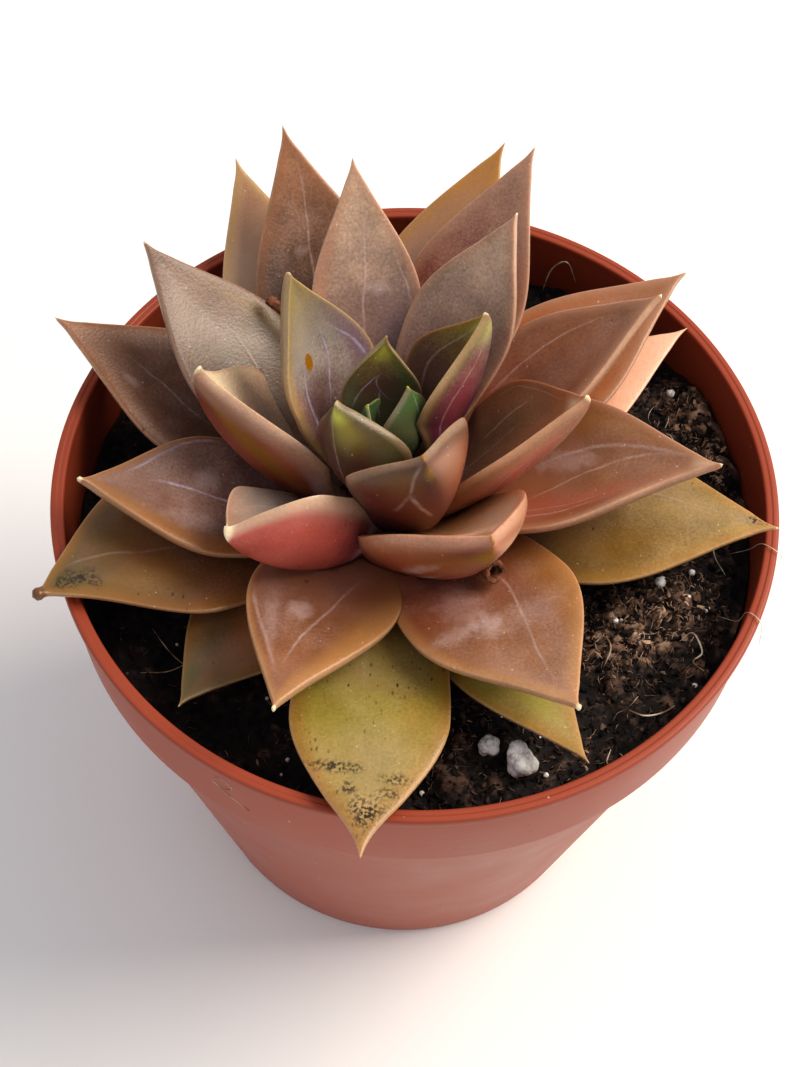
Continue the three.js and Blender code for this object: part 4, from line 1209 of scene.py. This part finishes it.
def make_crumbs():
    """Crumbs and clods of peat, more and larger where the peat is heaped."""
    draw = random.Random(CRUMBS["seed"])
    inside = wall_radius(CRUMBS["height"]) - POT["wall"] - CRUMBS["wall_gap"]
    parts, tones = [], []
    while len(parts) < CRUMBS["count"]:
        x, y = drawn_place(draw, CRUMBS["reach"])
        dry = dryness_and_painted_light(x, y)
        if draw.random() > 0.3 + 0.4 * dry:
            continue
        radius = draw.choice(CRUMBS["radii"]) * (1 + 0.3 * dry * draw.random())
        if draw.random() < 0.006 + 0.006 * dry:
            radius *= 1.6
        if math.hypot(x, y) > inside - radius * 1.3:
            continue
        parts.append(lump((x, y, ground(x, y) + radius * draw.uniform(-0.2, 0.6)), radius, draw))
        pale = 0.25 if draw.random() < 0.015 + 0.05 * dry else 0.0
        # Paler where dry, which on the right side is partly painted light.
        tones += [draw.uniform(-0.16, 0.1) + 0.22 * dry * draw.random() ** 2 + pale] * len(CRUMB_CORNERS)
    piece = make("soil_crumbs", *joined(parts), peat("peat_crumbs", PEAT_STOPS, 0.8))
    piece.data.polygons.foreach_set("use_smooth", [False] * len(piece.data.polygons))
    set_tone(piece, tones)
    dress(piece, "peat")


def make_fibres():
    """Short brown fibres of sphagnum and bark among the crumbs."""
    draw = random.Random(FIBRES["seed"])
    parts, tones = [], []
    while len(parts) < FIBRES["count"]:
        x, y = drawn_place(draw, FIBRES["reach"])
        dry = dryness_and_painted_light(x, y)
        if draw.random() > 0.12 + 0.5 * dry:
            continue
        heading = draw.uniform(0, 2 * math.pi)
        length = draw.uniform(FIBRES["shortest"], FIBRES["longest"])
        bend = draw.uniform(-0.6, 0.6)
        path = []
        for k in range(5):
            share = k / 4 - 0.5
            turn = heading + bend * share
            px, py = x + length * share * math.cos(turn), y + length * share * math.sin(turn)
            if math.hypot(px, py) > FIBRES["edge"]:
                break
            path.append((px, py, ground(px, py) + 0.15 + 0.5 * draw.random() * (0.4 + dry)))
        if len(path) < 5:
            continue
        parts.append(tube(path, draw.uniform(0.04, 0.1), 4, 0.7))
        # Paler where dry, which on the right side is partly painted light.
        tones += [draw.uniform(-0.02, 0.34) + 0.18 * dry * draw.random()] * len(parts[-1][0])
    piece = make("soil_fibres", *joined(parts), peat("peat_fibres", PEAT_STOPS, 0.7))
    set_tone(piece, tones)
    dress(piece, "peat")


def mineral(name):
    """Expanded perlite: chalky white glass foam, with grey pits."""
    material, tree, shader = finish_named(name, Roughness=0.85)
    spot = node(tree, "TexCoord").outputs["Object"]
    pits = node(tree, "TexNoise", {"Vector": spot, "Scale": per(0.9), "Detail": 5.0, "Roughness": 0.7})
    stops = [(0.3, "#8A817A"), (0.42, "#DDD8D2"), (0.52, "#F6F4F1")]
    colour = node(tree, "ValToRGB", {0: pits}, stops=stops)
    tree.links.new(colour.outputs[0], shader.inputs["Base Color"])
    bump = node(tree, "Bump", {"Strength": 0.7, "Distance": 0.3 * MM, "Height": pits})
    tree.links.new(bump.outputs[0], shader.inputs["Normal"])
    return material


def fine_sphere(steps):
    """Points and faces of a unit sphere made of small triangles."""
    ball = bmesh.new()
    bmesh.ops.create_icosphere(ball, subdivisions=steps, radius=1)
    points = [v.co.copy() for v in ball.verts]
    faces = [tuple(v.index for v in f.verts) for f in ball.faces]
    ball.free()
    return points, faces


def popped(direction, lobes):
    """How far a cluster of round lobes reaches in a direction; they meet in creases."""
    reach = 0.0
    for centre, size in lobes:
        nearest = direction.dot(centre)
        under = nearest * nearest - centre.length_squared + size * size
        if under > 0:
            reach = max(reach, nearest + math.sqrt(under))
    return reach


def make_perlite(finish):
    """The two large grains: each popped into several lobes."""
    points, faces = fine_sphere(5)
    for grain in PERLITE:
        x, y = grain["at"]
        radius = grain["radius"]
        draw = random.Random(grain["lobes"])
        lobes = [(Vector((0, 0, 0)), 0.66)]
        for _ in range(9):
            way = Vector((draw.gauss(0, 1), draw.gauss(0, 1), draw.gauss(0, 1))).normalized()
            lobes.append((way * 0.5, draw.uniform(0.36, 0.5)))
        z = soil_height(x, y) + radius - grain["sunk"]
        placed = []
        for v in points:
            size = popped(v, lobes) + 0.05 * noise.noise(v * 3 + lobes[1][0]) + 0.02 * noise.noise(v * 9)
            placed.append((x + v.x * size * radius, y + v.y * size * radius, z + v.z * size * radius * 0.9))
        dress(make(f"{grain['name']}_grain", placed, faces, finish), "perlite", grain["name"])


def make_small_perlite(finish):
    """Smaller grains that lie about."""
    draw = random.Random(GRAINS["seed"])
    spots = list(CLEAR_GRAINS)
    for _ in range(GRAINS["count"]):
        x, y = drawn_place(draw, GRAINS["reach"])
        spots.append((x, y, draw.uniform(GRAINS["smallest"], GRAINS["largest"])))
    ball, corners = fine_sphere(2)
    parts = []
    for x, y, radius in spots:
        z = ground(x, y) + radius * 0.55
        shift = Vector((x, y, radius))
        grown = [v * radius * (1 + 0.35 * noise.noise(v * 1.7 + shift)) for v in ball]
        parts.append(([(x + v.x, y + v.y, z + v.z * 0.85) for v in grown], corners))
    dress(make("perlite_crumbs", *joined(parts), finish), "perlite")


def wandering_hair(draw):
    """A fine root that lies on the soil, mostly at the right, or None where it would leave the pot."""
    r = FINE_HAIRS["reach"] * math.sqrt(draw.random())
    a = draw.uniform(-1.6, 1.2) if draw.random() < 0.7 else draw.uniform(1.2, 4.7)
    x, y = r * math.cos(a), r * math.sin(a)
    heading = draw.uniform(0, 2 * math.pi)
    path = []
    for _ in range(6):
        if math.hypot(x, y) < FINE_HAIRS["edge"]:
            path.append((x, y, ground(x, y) + 0.1 + draw.uniform(0, 0.9)))
        heading += draw.uniform(-0.7, 0.7)
        x += 1.1 * math.cos(heading)
        y += 1.1 * math.sin(heading)
    return path if len(path) == 6 else None


def make_hairs():
    """Fine pale roots on the peat, over the rim and stuck to the collar."""
    material, tree, shader = finish_named("dry_root_hair", Roughness=0.6)
    spot = node(tree, "TexCoord").outputs["Object"]
    patchy = node(tree, "TexNoise", {"Vector": spot, "Scale": per(2.5), "Detail": 3.0})
    colour = node(tree, "ValToRGB", {0: patchy}, stops=[(0.35, "#8A6B52"), (0.6, "#E9DCCB")])
    tree.links.new(colour.outputs[0], shader.inputs["Base Color"])
    parts = []
    for i, hair in enumerate(HAIRS):
        path = curve([(x, y, ground(x, y) + lift) for x, y, lift in hair])
        parts.append(tube(path, 0.14 if i < THICK_HAIRS else 0.08, 7, 0.6))
    for hair in RIM_HAIRS:
        parts.append(tube(curve(hair), 0.07, 6, 0.5))
    draw = random.Random(FINE_HAIRS["seed"])
    while len(parts) < FINE_HAIRS["total"]:
        path = wandering_hair(draw)
        if path:
            parts.append(tube(curve(path, 4), draw.uniform(0.035, 0.08), 5, 0.7))
    stuck = []
    for degrees, z in COLLAR_HAIR:
        a = math.radians(degrees)
        r = wall_radius(z) + 0.07
        stuck.append((r * math.cos(a), r * math.sin(a), z))
    parts.append(tube(curve(stuck), 0.06, 5, 0.4))
    dress(make("root_hairs", *joined(parts), material), "peat")


# ---------------------------------------------------------------- floor, light and camera

SKY = 0.55
# Name, place seen from the plant and side in millimetres, power in watts, and colour.
LAMPS = [
    ("window", (500, 130, 590), 480, 6.3, "#FFF4E6"),
    ("soft_front", (-380, -420, 620), 520, 0.3, "#F3F6FF"),
]


def make_studio():
    board, _, _ = finish_named("matte_white_board", **{"Base Color": linear("#F4F3F1"), "Roughness": 0.9})
    side = 3000
    corners = [(-side, -side, 0), (side, -side, 0), (side, side, 0), (-side, side, 0)]
    make("floor", corners, [(0, 1, 2, 3)], board)

    world = bpy.data.worlds.new("studio")
    bpy.context.scene.world = world
    world.use_nodes = True
    background = world.node_tree.nodes["Background"]
    background.inputs["Color"].default_value = linear("#F4F6FB")
    background.inputs["Strength"].default_value = SKY

    aim = Vector((0, 0, 95))
    for name, place, size, power, tint in LAMPS:
        lamp = bpy.data.lights.new(name, "AREA")
        lamp.size = size * MM
        lamp.energy = power
        lamp.color = linear(tint)[:3]
        stand = bpy.data.objects.new(name, lamp)
        stand.location = (aim + Vector(place)) * MM
        stand.rotation_euler = (-Vector(place)).to_track_quat("-Z", "Y").to_euler()
        bpy.context.scene.collection.objects.link(stand)


CAMERA = dict(
    place=(-2.0, -132.82, 296.47), right=(0.99905, 0.03727, 0.02266),
    up=(-0.04362, 0.85365, 0.51902), lens=56.68, sensor=36,
)


def make_camera():
    lens = bpy.data.cameras.new("photo_view")
    lens.lens = CAMERA["lens"]
    lens.sensor_width = CAMERA["sensor"]
    lens.clip_start = 10 * MM
    view = bpy.data.objects.new("photo_view", lens)
    right, up = Vector(CAMERA["right"]), Vector(CAMERA["up"])
    turn = Matrix((right, up, right.cross(up))).transposed().to_4x4()
    view.matrix_world = Matrix.Translation(Vector(CAMERA["place"]) * MM) @ turn
    bpy.context.scene.collection.objects.link(view)
    bpy.context.scene.camera = view


# ---------------------------------------------------------------- the part

bpy.context.scene.view_settings.view_transform = "Standard"
bpy.context.scene.view_settings.look = "Medium High Contrast"
make_camera()
make_studio()
make_pot()
make_soil()
make_crumbs()
make_fibres()
chalk = mineral("expanded_perlite")
make_perlite(chalk)
make_small_perlite(chalk)
make_hairs()
make_leaves(make_stem())
dry = bark("dry_flower_stalk", "#2C140C", "#8E5738", 0.8)
for stub in STUBS:
    make_stub(stub, dry)
